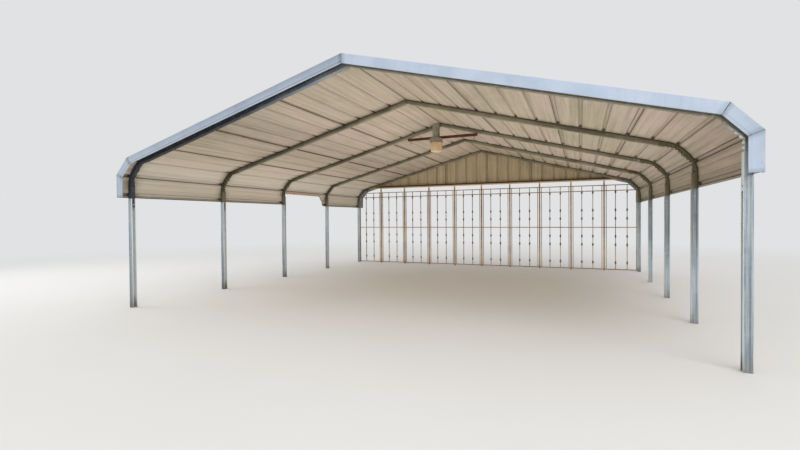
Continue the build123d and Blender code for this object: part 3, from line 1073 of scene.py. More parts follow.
@dataclass
class Frame:
    """Posts and bows of roll-formed channel, with the bolts through their laps.

    Attributes:
        post: Section of the posts.
        bow: Section of the bows, which nests in it.
        bow_end: Height of the ends of the bows.
        crimps: Places of the crimps from the middle of each bend.
        crimp_width: Half the width of a crimp.
        crimp_depth: How deep it is in the web.
        front_crimp: Share of that depth on the front bow.
        bolt_height: Of the screws through the laps.
        foot_stain: Dirt at the feet of the left posts, from the front.
        top_shade: Painted shade at the tops of the right posts.
        shade: Painted shade on the left halves of the bows.
    """

    post: Channel = Channel(CHANNEL)
    bow: Channel = Channel(BOW_SIZE, groove=(CHANNEL - 0.019 - 2 * NEST, 0.0065, 0.0026))
    bow_end: float = 1.217
    crimps: tuple[float, ...] = (-0.086, -0.042, 0.001, 0.043, 0.085)
    crimp_width: float = 0.0125
    crimp_depth: float = 0.014
    front_crimp: float = 0.55
    bolt_height: float = 1.247
    foot_stain: tuple[float, ...] = (0.34, 0.44, 0.4, 0.4, 0.4)
    top_shade: tuple[float, ...] = (0.0, 0.44, 0.46, 0.4, 0.36)
    shade: tuple[float, ...] = (1.1, 0.55, 0.25, 0.3, 0.25)

    def post_patch(self, y: float, top: float, foot: float) -> Patch:
        """Left post: the section carried up, with painted shade at its top and dirt at its foot.

        It sways along the bay by a sine of the height, times four times the height's
        share and the rest of it, so that both ends stay where they are.

        Args:
            y: Place of the post.
            top: Painted shade at its top.
            foot: Dirt at its foot.

        Returns:
            The post.
        """
        loop = self.post.loop()
        z = spans(0.0, 0.12, POST_TOP - 0.1, POST_TOP, most=0.12)
        lean = 0.0006 * np.sin(z * 5.0 + y * 3.0) * (z / POST_TOP) * (1 - z / POST_TOP) * 4
        x = loop[None, :, 0] - HALF_WIDTH + 0 * z[:, None]
        across = loop[None, :, 1] + y + lean[:, None]
        loops = np.stack([x, across, np.broadcast_to(z[:, None], x.shape)], -1)
        outside = np.arange(len(loop)) < len(loop) // 2
        # Painted shade in the groove of each outer flange.
        groove = 0.26 * bump(loop[:, 0], self.post.groove[0], 0.005) * outside
        # Painted highlight on the outer lips and all over the inner face.
        lip = np.where(outside, (loop[:, 0] > self.post.side - 0.001) * 0.9, 0.9)
        # Painted shade towards the top, for the right posts, and dirt towards the foot.
        top_shade_and_foot_dirt = 0.03 + top * smooth(z, 0.3, 1.1) + foot * (1 - smooth(z, 0.1, 0.95))
        soil = groove[None, :] + top_shade_and_foot_dirt[:, None] * outside[None, :]
        uv = np.stack([np.broadcast_to(loop[:, 1], x.shape), np.broadcast_to(z[:, None], x.shape)], -1)
        return tube(loops, uv, {"soil": soil, "fresh": np.broadcast_to(lip, x.shape)})

    def stations(self) -> Array:
        """Girths of the bow's sections, close together in the bends and at the ridge.

        Returns:
            Places from the ridge, negative on the left.
        """
        line = ROOF_LINE
        marks = (0.012, 0.1, line.upper_bend - 0.18, line.bends[1][1] + 0.01)
        end = line.girth_of(self.bow_end)
        half = np.concatenate([
            spans(marks[0], marks[1], most=0.03)[:-1],
            spans(marks[1], marks[2], most=0.25)[:-1],
            spans(marks[2], marks[3], most=0.0055)[:-1],
            spans(marks[3], end, most=0.06),
        ])
        return np.concatenate([-half[::-1], [0.0], half])

    def dents(self, girth: Array) -> Array:
        """Crimps across the web at each bend and at the ridge, as bells along the girth.

        Args:
            girth: Places from the ridge.

        Returns:
            Depths as shares of a crimp's.
        """
        far = np.abs(girth)
        middles = [(start + end) / 2 for start, end in ROOF_LINE.bends]
        dent = sum(bump(far, middle + crimp, self.crimp_width) for middle in middles for crimp in self.crimps)
        return dent + bump(far, 0.0, 0.02)

    def corner(self, girth: Array) -> Array:
        """How far the web's straight runs lie inside its arc: r / cos(a) - r.

        The angle a grows from both ends of each bend to its middle, and r is the web's
        radius there.

        Args:
            girth: Places from the ridge.

        Returns:
            Depths in metres.
        """
        far, radius = np.abs(girth), ROOF_LINE.bend - BOW_SIZE
        depth = 0.0 * far
        for start, end in ROOF_LINE.bends:
            angle = np.clip(np.minimum(far - start, end - far), 0.0, None) / ROOF_LINE.bend
            depth = depth + radius / np.cos(angle) - radius
        return depth

    def bow_marks(self, index: int, girth: Array, share: Array) -> Marks:
        """Dirt, moss, painted shade and painted highlights of a bow.

        Painted shadow with dirt lies on the side of the sheets, painted shade in the crimps and
        on the left half, and dirt past the knees; a painted highlight lightens the web's edge.
        The front bow has clean knees, moss on its right half and a painted highlight on the lip
        at its right knee.

        Args:
            index: Number of the bow, 0 for the front one.
            girth: Places of its sections.
            share: Depth of each point of the section below the sheets, 1 at the web.

        Returns:
            Grids of values.
        """
        front = index == 0
        upper, lower = ROOF_LINE.upper_bend, ROOF_LINE.lower_bend
        place, far = girth[:, None], np.abs(girth)[:, None]
        knee = smooth(far, upper - 0.175, upper - 0.15) * (1 - 0.3 * smooth(far, lower, lower + 0.2))
        knee = knee * (not front)
        leg = smooth(far, lower - 0.02, lower + 0.16)
        # Painted shade on the left half, less down the legs.
        left = self.shade[index] * smooth(-place, -0.5, 2.0) * (1 - (0.2 if front else 0.8) * leg)
        # Painted shadow with dirt on the side of the sheets.
        top = 0.85 * (1 - smooth(share, 0.05, 0.45)) * (1 - 0.5 * leg * front)
        dents = self.dents(girth)[:, None]
        # Dirt past the knees, and painted shade in the crimps, deepest at the web.
        soil = top + 0.2 * knee + 0.06 + 0.9 * dents * share**2 + left
        # Painted highlight along the web's edge, less where the left half's painted shade is full.
        edge = 0.35 * smooth(share, 0.86, 0.97) * (1 - knee) * (1 - np.minimum(left, 1.0))
        moss = 0.6 * knee * (1 - dents) + 0.9 * (1 - leg) * smooth(place, -0.4, 0.3) * front
        # Painted highlight on the front bow's lip at its right knee.
        lip = 0.8 * smooth(share, 0.9, 0.97) * smooth(place, upper - 0.05, lower) * front
        return {"soil": np.clip(soil - edge, 0, 0.95), "moss": moss * (1 - lip), "fresh": lip}

    def bow_patch(self, index: int) -> Patch:
        """Bow: the section carried along the roof's line, crimped on its web side.

        A point lies at line - normal * depth, its depth less the crimp times the square of
        the depth's share, and its place across drawn in by 0.45 of the crimp times that
        share.

        Args:
            index: Number of the bow, 0 for the front one.

        Returns:
            The bow.
        """
        loop = self.bow.loop() * [-1, 1] + [BOW_SIZE, 0]
        girth = self.stations()
        point, normal = ROOF_LINE.at(girth)
        dent = self.dents(girth)[:, None] * self.crimp_depth * (self.front_crimp if index == 0 else 1.0)
        share = (loop[:, 0] / BOW_SIZE)[None, :]
        depth = loop[None, :, 0] - (dent + self.corner(girth)[:, None]) * share**2
        across = loop[None, :, 1] - 0.45 * dent * share * np.sign(loop[None, :, 1])
        x = point[:, :1] - normal[:, :1] * depth
        z = point[:, 1:] - normal[:, 1:] * depth
        loops = np.stack([x, across + BOWS[index], z], -1)
        uv = np.stack(np.broadcast_arrays(loop[None, :, 1], girth[:, None]), -1)
        return tube(loops, uv, self.bow_marks(index, girth, share))

    def bolt_patch(self) -> Patch:
        """Screws at each lap: one through either flange of the post and one in the bow's web.

        Returns:
            The screws of all the laps.
        """
        head = hex_head(0.010, 0.0045, 0.0085)
        side = np.repeat([-1.0, 1.0], len(BOWS))
        y = np.tile(BOWS, 2)
        z = np.full(len(y), self.bolt_height)
        flange = [
            scattered(
                head,
                np.stack([side * (HALF_WIDTH - CHANNEL * 0.62), y + way * CHANNEL / 2, z], 1),
                facing(np.array([[0.0, way, 0.0]])),
            )
            for way in (-1.0, 1.0)
        ]
        web = np.stack([side * (ROOF_LINE.outer_face - BOW_SIZE), y, z], 1)
        return joined(flange + [scattered(head, web, facing(np.stack([-side, 0 * side, 0 * side], 1)))])

    def build(self) -> None:
        """Puts the posts, the bows and their bolts in place."""
        for index, y in enumerate(BOWS):
            number = index + 1
            left = self.post_patch(y, 0.0, self.foot_stain[index])
            right = self.post_patch(y, self.top_shade[index], 0.04).flipped()
            zinc = Finish.FRONT_ZINC if index == 0 else Finish.BOW_ZINC
            put(f"post_channel_left_{number}", left, Finish.POST_ZINC, [f"post_left_{number}"])
            put(f"post_channel_right_{number}", right, Finish.POST_ZINC, [f"post_right_{number}"])
            put(f"bow_channel_{number}", self.bow_patch(index), zinc, [f"bow_{number}"])
        put("lap_bolts", self.bolt_patch(), Finish.POST_ZINC)


@dataclass
class Roof:
    """Ribbed sheets lapped rib over rib, with the ridge cap and the screws over each bow.

    Attributes:
        laps: Numbers of the first rib and of those where sheets lap, from the ridge.
        lap_reach: Half the width that counts as a lap.
        base: Width of a rib at its foot.
        top: Width of a rib at its top.
        minor: Width and height of the low ribs.
        ridge_gap: From the ridge to the upper edge of the sheets.
        wave: Height of the waves between the bows.
        cap_leg: Width of the cap on each slope.
        cap_gauge: Thickness of the cap.
        torn_ends: From the third bow and the fourth to the missing part between them.
        torn_slant: Length of its slanted side.
        torn_edge: Height to which the strip still reaches there.
    """

    laps: tuple[int, ...] = (1, 4, 8, 11, 14, 15)
    lap_reach: float = 0.026
    base: float = 0.038
    top: float = 0.019
    minor: tuple[float, float] = (0.016, 0.003)
    ridge_gap: float = 0.0025
    wave: float = 0.0012
    cap_leg: float = 0.115
    cap_gauge: float = 0.0007
    torn_ends: tuple[float, float] = (0.008, 0.118)
    torn_slant: float = 0.15
    torn_edge: float = 1.523

    def rib(self, places: Array, grow: float = 0.0) -> Array:
        """Corners of the ribs, grown outwards where a sheet laps over another.

        Args:
            places: Middles of the ribs.
            grow: How far they grow.

        Returns:
            Four rows of place and height for each rib.
        """
        flank = (self.base - self.top) / 2
        base = self.base / 2 + math.hypot(flank, RIB_HEIGHT) / RIB_HEIGHT * grow
        height = RIB_HEIGHT + grow
        top = base - flank * height / RIB_HEIGHT
        shape = np.array([[-base, 0.0], [-top, height], [top, height], [base, 0.0]])
        return (shape[None] + np.stack([places, 0 * places], 1)[:, None]).reshape(-1, 2)

    def minors(self, places: Array) -> Array:
        """Corners of the two low ribs before each place.

        Args:
            places: Middles of ribs.

        Returns:
            Eight rows of place and height for each.
        """
        width, height = self.minor
        shape = np.array([[-width / 2, 0.0], [-width / 6, height], [width / 6, height], [width / 2, 0.0]])
        at = (places[:, None] - np.array([2, 1]) * RIB_PITCH / 3).ravel()
        return (shape[None] + np.stack([at, 0 * at], 1)[:, None]).reshape(-1, 2)

    def profile(self, ribs: Array, start: float, end: float, under: bool, over: bool) -> Array:
        """Inner face of a sheet as places and heights above the bows.

        Args:
            ribs: Places of its ribs.
            start: Its upper edge, unless it lies under the sheet above.
            end: Its lower edge, unless it lies over the sheet below.
            under: Whether it starts inside the flank of its first rib.
            over: Whether it ends on the grown flank of its last rib.

        Returns:
            The rounded line, one row of place and height for each point.
        """
        plain = self.rib(ribs[:-1] if over else ribs)
        grown = self.rib(ribs[-1:], SHEET + LAP) if over else plain[:0]
        low = self.minors(ribs[1:])
        if not under:
            low = np.vstack([self.minors(ribs[:1])[4:], low])
        line = np.vstack([plain, grown, low])
        line = line[np.argsort(line[:, 0], kind="stable")]
        gap = np.array([[start, 0.0], [start + 0.007, 0.0], [start + 0.011, 0.0]])
        first = (line[:1] + line[1:2]) / 2 if under else gap
        hem = np.array([[end - 0.016, 0.0], [end - 0.011, 0.0], [end, 0.0]])
        last = (line[-2:-1] + line[-1:]) / 2 if over else hem
        line = np.vstack([first, line[1 if under else 0:len(line) - (1 if over else 0)], last])
        return rounded(line, 0.004, 2)

    def lapped(self, place: Array, laps: Sequence[float]) -> Array:
        """1 near a lap and 0 elsewhere."""
        return np.clip(sum((np.abs(place - lap) < self.lap_reach) * 1.0 for lap in laps), 0, 1)

    def soil(self, line: Array, laps: Sequence[float], centre: float = 0.0, plain: float = 1.0) -> Array:
        """Dirt and painted shade along the line: dirt at the foot of each rib, painted shade
        in the hollows and at both feet of a lap, and a stripe at the ridge.

        Args:
            line: Places and heights.
            laps: Places of the ribs where sheets lap.
            centre: Place of any rib.
            plain: How dark the ribs are that aren't laps.

        Returns:
            A value for each point.
        """
        place, height = line[:, 0], line[:, 1]
        rib = (place - centre + RIB_PITCH / 2) % RIB_PITCH - RIB_PITCH / 2
        low = (place - centre) % (RIB_PITCH / 3) - RIB_PITCH / 6
        # Painted shade in the rib hollows; dirt along the feet of the ribs and the low ribs.
        hollow = 0.08 * smooth(height, 0.002, 0.012)
        pins = 0.3 * bump(np.abs(np.abs(low) - RIB_PITCH / 6), self.minor[0] / 2, 0.0016)
        feet = bump(rib, self.base / 2, 0.0028) + 0.3 * bump(rib, -self.base / 2, 0.0028)
        both = bump(rib, self.base / 2, 0.0035) + 0.75 * bump(rib, -self.base / 2, 0.0035)
        ridge = 0.8 * (place < self.ridge_gap + 0.0075) * (centre == 0)
        # Painted shade at both feet of each lap, and a dark stripe at the ridge.
        seam = self.lapped(place, laps) * both + ridge
        stripes = np.maximum(np.maximum(hollow, pins), 0.55 * feet)
        return np.clip(np.maximum(plain * stripes, seam), 0, 1)

    def along(self) -> Array:
        """Stations from the front edge to the rear one, closer together beside the bows.

        Returns:
            The stations.
        """
        beside = BOWS[:, None] + np.array([-0.22, -0.17, -0.13, -0.09, -0.055, -0.027, 0.027, 0.055, 0.09])
        beside = np.clip(beside.ravel(), -ROOF_END, ROOF_END)
        return np.unique(np.concatenate([spans(-ROOF_END, *BOWS, ROOF_END, most=0.09), beside]))

    def bow_shade_and_dirt(self, y: Array, girth: Array, height: Array, soil: Array) -> Array:
        """Adds a painted contact shadow with dirt beside each bow to that along the profile, most of it in
        the ribs.

        It falls off with the square of the distance from the bow, as a bell, and comes and
        goes along the bow with the product of two sines of the girth.

        Args:
            y: Stations along the bay.
            girth: Places from the ridge, a row of them.
            height: Heights above the bows, of the same shape.
            soil: Dirt and painted shade along the profile, of the same shape.

        Returns:
            A grid of values.
        """
        broad, close = (sum(bump(y, bow, width) for bow in BOWS)[:, None] for width in (0.11, 0.1))
        slow = np.sin(girth * 9.0 + y[:, None] * 2.0)
        quick = np.sin(girth * 23.0 + y[:, None] * 5.0)
        smudge = 0.7 * broad * (0.62 + 0.38 * slow * quick)
        return np.maximum(soil, np.maximum(smudge, close * smooth(height, 0.0005, 0.006)))

    def sag(self, y: Array, girth: Array) -> Array:
        """Waves of the sheet between the bows, none on them.

        The height is the wave times the square of sin(pi * y / spacing), times a slow
        sine of the girth and of the bay.

        Args:
            y: Stations along the bay.
            girth: Places from the ridge.

        Returns:
            A grid of heights.
        """
        spacing = BOWS[1] - BOWS[0]
        between = np.sin(math.pi * (y - BOWS[0]) / spacing) ** 2
        return self.wave * between[:, None] * (0.6 + np.sin(girth[None, :] * 11.0 + y[:, None] * 2.3))

    def lay(self, index: int, left: bool = False) -> Patch:
        """Carries a sheet's profile along the bay on the right slope, with two faces.

        Args:
            index: Number of the sheet.
            left: Whether it is marked for the left slope.

        Returns:
            The sheet.
        """
        line, soil = self.sheet(index, left)
        y = self.along()
        point, normal = ROOF_LINE.at(line[:, 0])
        inner = point + normal * line[:, 1:]
        outer = offset_line(inner, SHEET)
        sag = normal[None] * self.sag(y, line[:, 0])[..., None]
        girth, height = line[None, :, 0], line[None, :, 1]
        uv = np.stack(np.broadcast_arrays(y[:, None], girth), -1)
        # Painted contact shadow and dirt beside the bows, and painted light on the left slope.
        marks = {
            "soil": self.bow_shade_and_dirt(y, girth, height, soil[None]),
            "pale": self.faded(girth, height) * left,
        }
        return shell(carried(inner[None] + sag, y), carried(outer[None] + sag, y), uv, marks)

    def faded(self, girth: Array, height: Array) -> Array:
        """Painted light on the left slope: towards its eave, and in the ribs that aren't laps, against their
        shade.

        Args:
            girth: Places from the ridge.
            height: Heights above the bows.

        Returns:
            A value for each point.
        """
        lapped = self.lapped(girth, [lap * RIB_PITCH for lap in self.laps[1:]])
        ribs = 0.5 * smooth(height, 0.0005, 0.005) * (1 - lapped)
        return np.maximum(0.5 * smooth(girth, 2.4, 3.1), ribs)

    def sheet(self, index: int, left: bool = False) -> tuple[Array, Array]:
        """Profile, dirt and painted shade of one sheet, counted from the ridge: plainer ribs on the left.

        Args:
            index: Number of the sheet.
            left: Whether it lies on the left slope.

        Returns:
            Its profile, and the dirt and painted shade of each point.
        """
        first, last = self.laps[index], self.laps[index + 1]
        ribs = np.arange(first, last + 1) * RIB_PITCH
        end = ROOF_LINE.girth_of(EAVE)
        under, over = index > 0, index < len(self.laps) - 2
        line = self.profile(ribs, self.ridge_gap, end, under, over)
        laps = [lap * RIB_PITCH for lap in self.laps[1:]]
        soil = self.soil(line, laps, plain=0.36 if left else 1.0)
        # Darker along the hem at the eave's edge, towards the eave on the right, and round the middle of the
        # left slope.
        hem = (0.95 if left else 0.5) * (line[:, 0] > end - 0.0115)
        dusk = 0.06 + 0.22 * smooth(line[:, 0], ROOF_LINE.upper_bend - 0.3, ROOF_LINE.lower_bend)
        dusk = 0.06 + 0.24 * bump(line[:, 0], 1.75, 0.6) if left else dusk
        return line, np.maximum(np.minimum(soil + dusk, 1.0), hem)

    def torn(self) -> Patch:
        """Left eave strip without the part that is missing between the third and fourth bow.

        Each station's profile stops at its own girth, and the points past it fall
        together there, which merging then removes.

        Returns:
            The strip, on the left.
        """
        line, soil = self.sheet(len(self.laps) - 2, left=True)
        bow, following = BOWS[2], BOWS[3]
        front, rear = bow + self.torn_ends[0], following - self.torn_ends[1]
        slant = rear - self.torn_slant
        stops = (-ROOF_END, bow, front, front + 0.0004, slant, rear + 0.001, following, ROOF_END)
        fine = np.linspace(front + 0.001, rear, 170)
        y = np.unique(np.concatenate([spans(*stops, most=0.09), self.along(), fine]))
        whole = line[-1, 0]
        edge = ROOF_LINE.girth_of(self.torn_edge)
        side = np.interp(y, [slant, rear - self.torn_slant / 3, rear], [0.0, 0.5, 1.0])
        ragged = 0.004 * np.sin(y * 61.0) + 0.003 * np.sin(y * 143.0 + 1.0) + 0.002 * np.sin(y * 311.0)
        end = edge + ragged * (side < 1) * (y > front) + (whole - edge) * side
        end = np.where((y <= front) | (y >= rear), whole, end)
        g = np.minimum(line[None, :, 0], end[:, None])
        h = np.interp(g, line[:, 0], line[:, 1])
        point, normal = ROOF_LINE.at(g)
        inner = point + normal * h[..., None]
        outer = inner + normal * SHEET
        gap = (y > front - 0.02) & (y < rear + 0.03)
        rust = bump(end[:, None] - g, 0.0, 0.035) * gap[:, None]
        soil = np.where(g < line[None, :, 0] - 1e-6, 0.0, soil[None])
        uv = np.stack(np.broadcast_arrays(y[:, None], g), -1)
        marks = {"soil": self.bow_shade_and_dirt(y, g, h, soil), "rust": rust, "pale": self.faded(g, h)}
        return shell(carried(inner * [-1, 1], y), carried(outer * [-1, 1], y), uv, marks)

    def cap(self) -> Patch:
        """Folded cap over the ridge, its edges turned down onto the sheets.

        A point is the one on the roof's line plus its normal times the height there.

        Returns:
            The cap.
        """
        rise = SHEET + 0.0002
        half = np.array([
            [-self.cap_leg, rise],
            [-self.cap_leg + 0.006, rise + 0.002],
            [-0.006, rise + 0.001],
        ])
        y = self.along()
        right = half[::-1] * [-1, 1]
        point, normal = ROOF_LINE.at(np.concatenate([half[:, 0], [0.0], right[:, 0]]))
        height = np.concatenate([half[:, 1], [rise + 0.001], right[:, 1]])
        inner = point + normal * height[:, None]
        outer = offset_line(inner, self.cap_gauge)
        uv = np.stack(np.broadcast_arrays(y[:, None], inner[None, :, 0]), -1)
        return shell(carried(inner, y), carried(outer, y), uv)

    def screws(self) -> Patch:
        """Screws over each bow, beside every rib, and along both legs of the cap.

        Returns:
            All the screws.
        """
        end = ROOF_LINE.girth_of(EAVE + 0.02)
        girth = np.arange(1, 16) * RIB_PITCH - SCREW_ASIDE
        girth = girth[girth < end]
        girth = np.concatenate([-girth, girth])
        point, normal = ROOF_LINE.at(girth)
        gone = girth < -ROOF_LINE.girth_of(1.55)
        places, normals = [], []
        for number, y in enumerate(BOWS):
            keep = ~(gone & (number == 2))
            at = point[keep] + normal[keep] * (SHEET * 1.1)
            jitter = 0.006 * np.sin(girth[keep] * 37.0 + y * 5.0)
            places.append(np.stack([at[:, 0], y + jitter, at[:, 1]], 1))
            normals.append(np.stack([normal[keep, 0], 0 * jitter, normal[keep, 1]], 1))
        leg, up = ROOF_LINE.at(np.array([-0.09, 0.09]))
        y = np.arange(-ROOF_END + 0.12, ROOF_END, 0.46)
        for side in range(2):
            at = leg[side] + up[side] * 0.0028
            places.append(np.stack([0 * y + at[0], y, 0 * y + at[1]], 1))
            normals.append(np.stack([0 * y + up[side, 0], 0 * y, 0 * y + up[side, 1]], 1))
        return scattered(hex_head(0.008, 0.0042, 0.0072), np.vstack(places), facing(np.vstack(normals)))

    def build(self) -> None:
        """Puts the sheets, the cap and the screws in place."""
        for index in range(len(self.laps) - 1):
            right = self.lay(index)
            number = index + 1
            left = self.lay(index, left=True).flipped() if number < len(self.laps) - 1 else self.torn()
            put(f"roof_panel_right_{number}", right, Finish.ROOF, [f"roof_sheet_right_{number}"])
            put(f"roof_panel_left_{number}", left, Finish.ROOF, [f"roof_sheet_left_{number}"])
        put("ridge_fold", self.cap(), Finish.CAP, ["ridge_cap"])
        put("roof_screws", self.screws(), Finish.PLATED)


@dataclass
class Trim:
    """Folded trim along the front and rear edges, in three lengths on each slope.

    Attributes:
        face: Height of its upright face.
        leg: Width on top of the ribs.
        hem: Width of the fold at its foot.
        gauge: Its thickness.
        seam: Open joint on each side of a corner.
        left_shade: Painted shade on the left slope.
        eave_dull: Darkening of the two lengths past the upper knee.
    """

    face: float = 0.086
    leg: float = 0.055
    hem: float = 0.012
    gauge: float = 0.0009
    seam: float = 0.0022
    left_shade: float = 0.36
    eave_dull: tuple[float, float] = (0.16, 0.06)

    def corners(self) -> Array:
        """Corners of the roof's line on the right, from the ridge to the eave's edge.

        Returns:
            X and Z of the four corners.
        """
        line = ROOF_LINE
        high = line.knee_height + line.knee_rise
        return np.array([
            [0.0, line.ridge],
            [line.outer_face - line.knee_run, high],
            [line.outer_face, line.knee_height],
            [line.outer_face, EAVE],
        ])

    def mitres(self) -> Array:
        """How far each corner moves for one metre of offset outwards.

        Returns:
            X and Z of the four movements.
        """
        corner = self.corners()
        full = np.vstack([corner[1] * [-1, 1], corner])
        return offset_line(full, 1.0)[1:] - corner

    def section(self) -> Array:
        """Fold of the trim as heights above the roof's line and places behind its edge.

        Returns:
            The fold from the edge of the leg to that of the hem.
        """
        under = RIB_HEIGHT + 2 * SHEET + LAP
        top = under + self.gauge
        low = top - self.face
        half = self.gauge / 2
        fold = np.array([
            [under + half, self.leg],
            [under + half, -half],
            [low + 0.021, -half],
            [low + 0.015, -half],
            [low + 0.009, -half],
            [low + half, -half],
            [low + half, self.hem],
            [low + 0.004, self.hem + 0.0005],
        ])
        return rounded(fold, 0.0022, 3)

    def strip(
        self, start: Array, end: Array, outs: Array, rows: int, sunk: float = 0.0, dull: float = 0.0
    ) -> Patch:
        """Carries the fold from one place to another, its face a little wavy.

        A point is the one on the way from start to end plus its height times the movement
        there, and the face stands out by a sine of the way.

        Args:
            start: X and Z of the start on the roof's line.
            end: The same for the end.
            outs: Movement for one metre of offset, at the start and at the end.
            rows: Stations between them.
            sunk: How far the face lies behind the others.
            dull: Darkening all over it, more towards the top, with painted shade along the crease above its
                hem.

        Returns:
            The folded strip.
        """
        section = self.section()
        near = offset_line(section, -self.gauge / 2)
        far = offset_line(section, self.gauge / 2)
        t = np.linspace(0.0, 1.0, rows)
        foot = start + (end - start) * t[:, None]
        out = outs[0] + (outs[1] - outs[0]) * t[:, None]
        length = float(np.linalg.norm(end - start))
        wave = 0.0005 * (1 + np.sin(t * length * 9.0)) * (sunk == 0)
        sides = []
        for line in (near, far):
            spot = foot[:, None] + out[:, None] * line[None, :, :1]
            y = -ROOF_END + line[None, :, 1] + sunk + wave[:, None] * (line[None, :, 1] < 0.001)
            sides.append(np.stack([spot[..., 0], np.broadcast_to(y, spot.shape[:2]), spot[..., 1]], -1))
        ends = np.minimum(t, 1 - t) * length
        # Painted shade along the crease above the hem and at both ends, beside the open seams; a sunk tongue
        # is painted dark all over, as shade behind the seam.
        crease = bump(section[:, 0], section[:, 0].min() + 0.015, 0.004) * (section[:, 1] < 0.001)
        share = (section[:, 0] - section[:, 0].min()) / self.face
        soil = 0.4 * smooth(ends, 0.006, 0.0)[:, None] + dull * (0.45 + 1.1 * share + 1.6 * crease)[None]
        uv = np.stack(np.broadcast_arrays(t[:, None] * length, section[None, :, 0]), -1)
        return shell(sides[0], sides[1], uv, {"soil": soil if sunk == 0 else np.ones(soil.shape)})

    def length(self, first: int, dull: float = 0.0) -> Patch:
        """Trim between two neighbouring corners, short of both by the seam.

        Args:
            first: Number of the upper corner.
            dull: Darkening all over it.

        Returns:
            The length of trim.
        """
        corner, mitre = self.corners(), self.mitres()
        a, b = corner[first], corner[first + 1]
        way = unit(b - a)
        last = first + 1 == len(corner) - 1
        start = a + way * self.seam
        end = b if last else b - way * self.seam
        rows = 3 + int(np.linalg.norm(b - a) / 0.045)
        return self.strip(start, end, mitre[first:first + 2], rows, dull=dull)

    def tongue(self, at: int, reach: float = 0.02) -> Patch:
        """Lap behind the seam at a corner, on the side away from the ridge, painted dark all over as shade.

        Args:
            at: Number of the corner.
            reach: How far it runs on from there.

        Returns:
            Its parts on both sides of the corner.
        """
        corner, mitre = self.corners(), self.mitres()
        here, sunk = corner[at], self.gauge * 1.6
        way = unit(corner[at + 1] - here)
        outs = np.array([mitre[at], [-way[1], way[0]]])
        after = self.strip(here, here + way * reach, outs, 2, sunk)
        if at == 0:
            return joined([after, after.flipped()])
        back = unit(corner[at - 1] - here)
        outs = np.array([[back[1], -back[0]], mitre[at]])
        before = self.strip(here + back * reach, here, outs, 2, sunk)
        return joined([before, after])

    def screws(self) -> Patch:
        """Screws through the trim's leg into every second rib, on both ends of the roof.

        Returns:
            All the screws.
        """
        girth = np.concatenate([np.arange(1, 13, 2), [14]]) * RIB_PITCH
        point, normal = ROOF_LINE.at(np.concatenate([-girth, girth]))
        at = point + normal * (RIB_HEIGHT + 2 * SHEET + LAP + self.gauge)
        y = np.full(len(at), -ROOF_END + self.leg * 0.6)
        places = np.stack([at[:, 0], y, at[:, 1]], 1)
        normals = np.stack([normal[:, 0], 0 * y, normal[:, 1]], 1)
        front = scattered(hex_head(0.008, 0.0038, 0.0065, 0.0012), places, facing(normals))
        return joined([front, front.moved(np.diag([1.0, -1.0, 1.0]))])

    def build(self) -> None:
        """Puts the trim on both ends of the roof."""
        for end, flip in (("front", 1.0), ("rear", -1.0)):
            turn = np.diag([1.0, flip, 1.0])
            # The left slope's trim is painted in shade.
            for side, dull in (("right", 0.0), ("left", self.left_shade)):
                drop = [self.length(at, more + 0.6 * dull) for at, more in enumerate(self.eave_dull, 1)]
                eave = joined([*drop, self.tongue(1), self.tongue(2)])
                for name, patch in (("rake", self.length(0, dull)), ("eave", eave)):
                    whole = patch.moved(turn)
                    whole = whole if side == "right" else whole.flipped()
                    put(f"{end}_{name}_fold_{side}", whole, Finish.TRIM, [f"{end}_{name}_trim_{side}"])
            put(f"{end}_ridge_tongue", self.tongue(0).moved(turn), Finish.TRIM)
        put("trim_screws", self.screws(), Finish.PLATED)


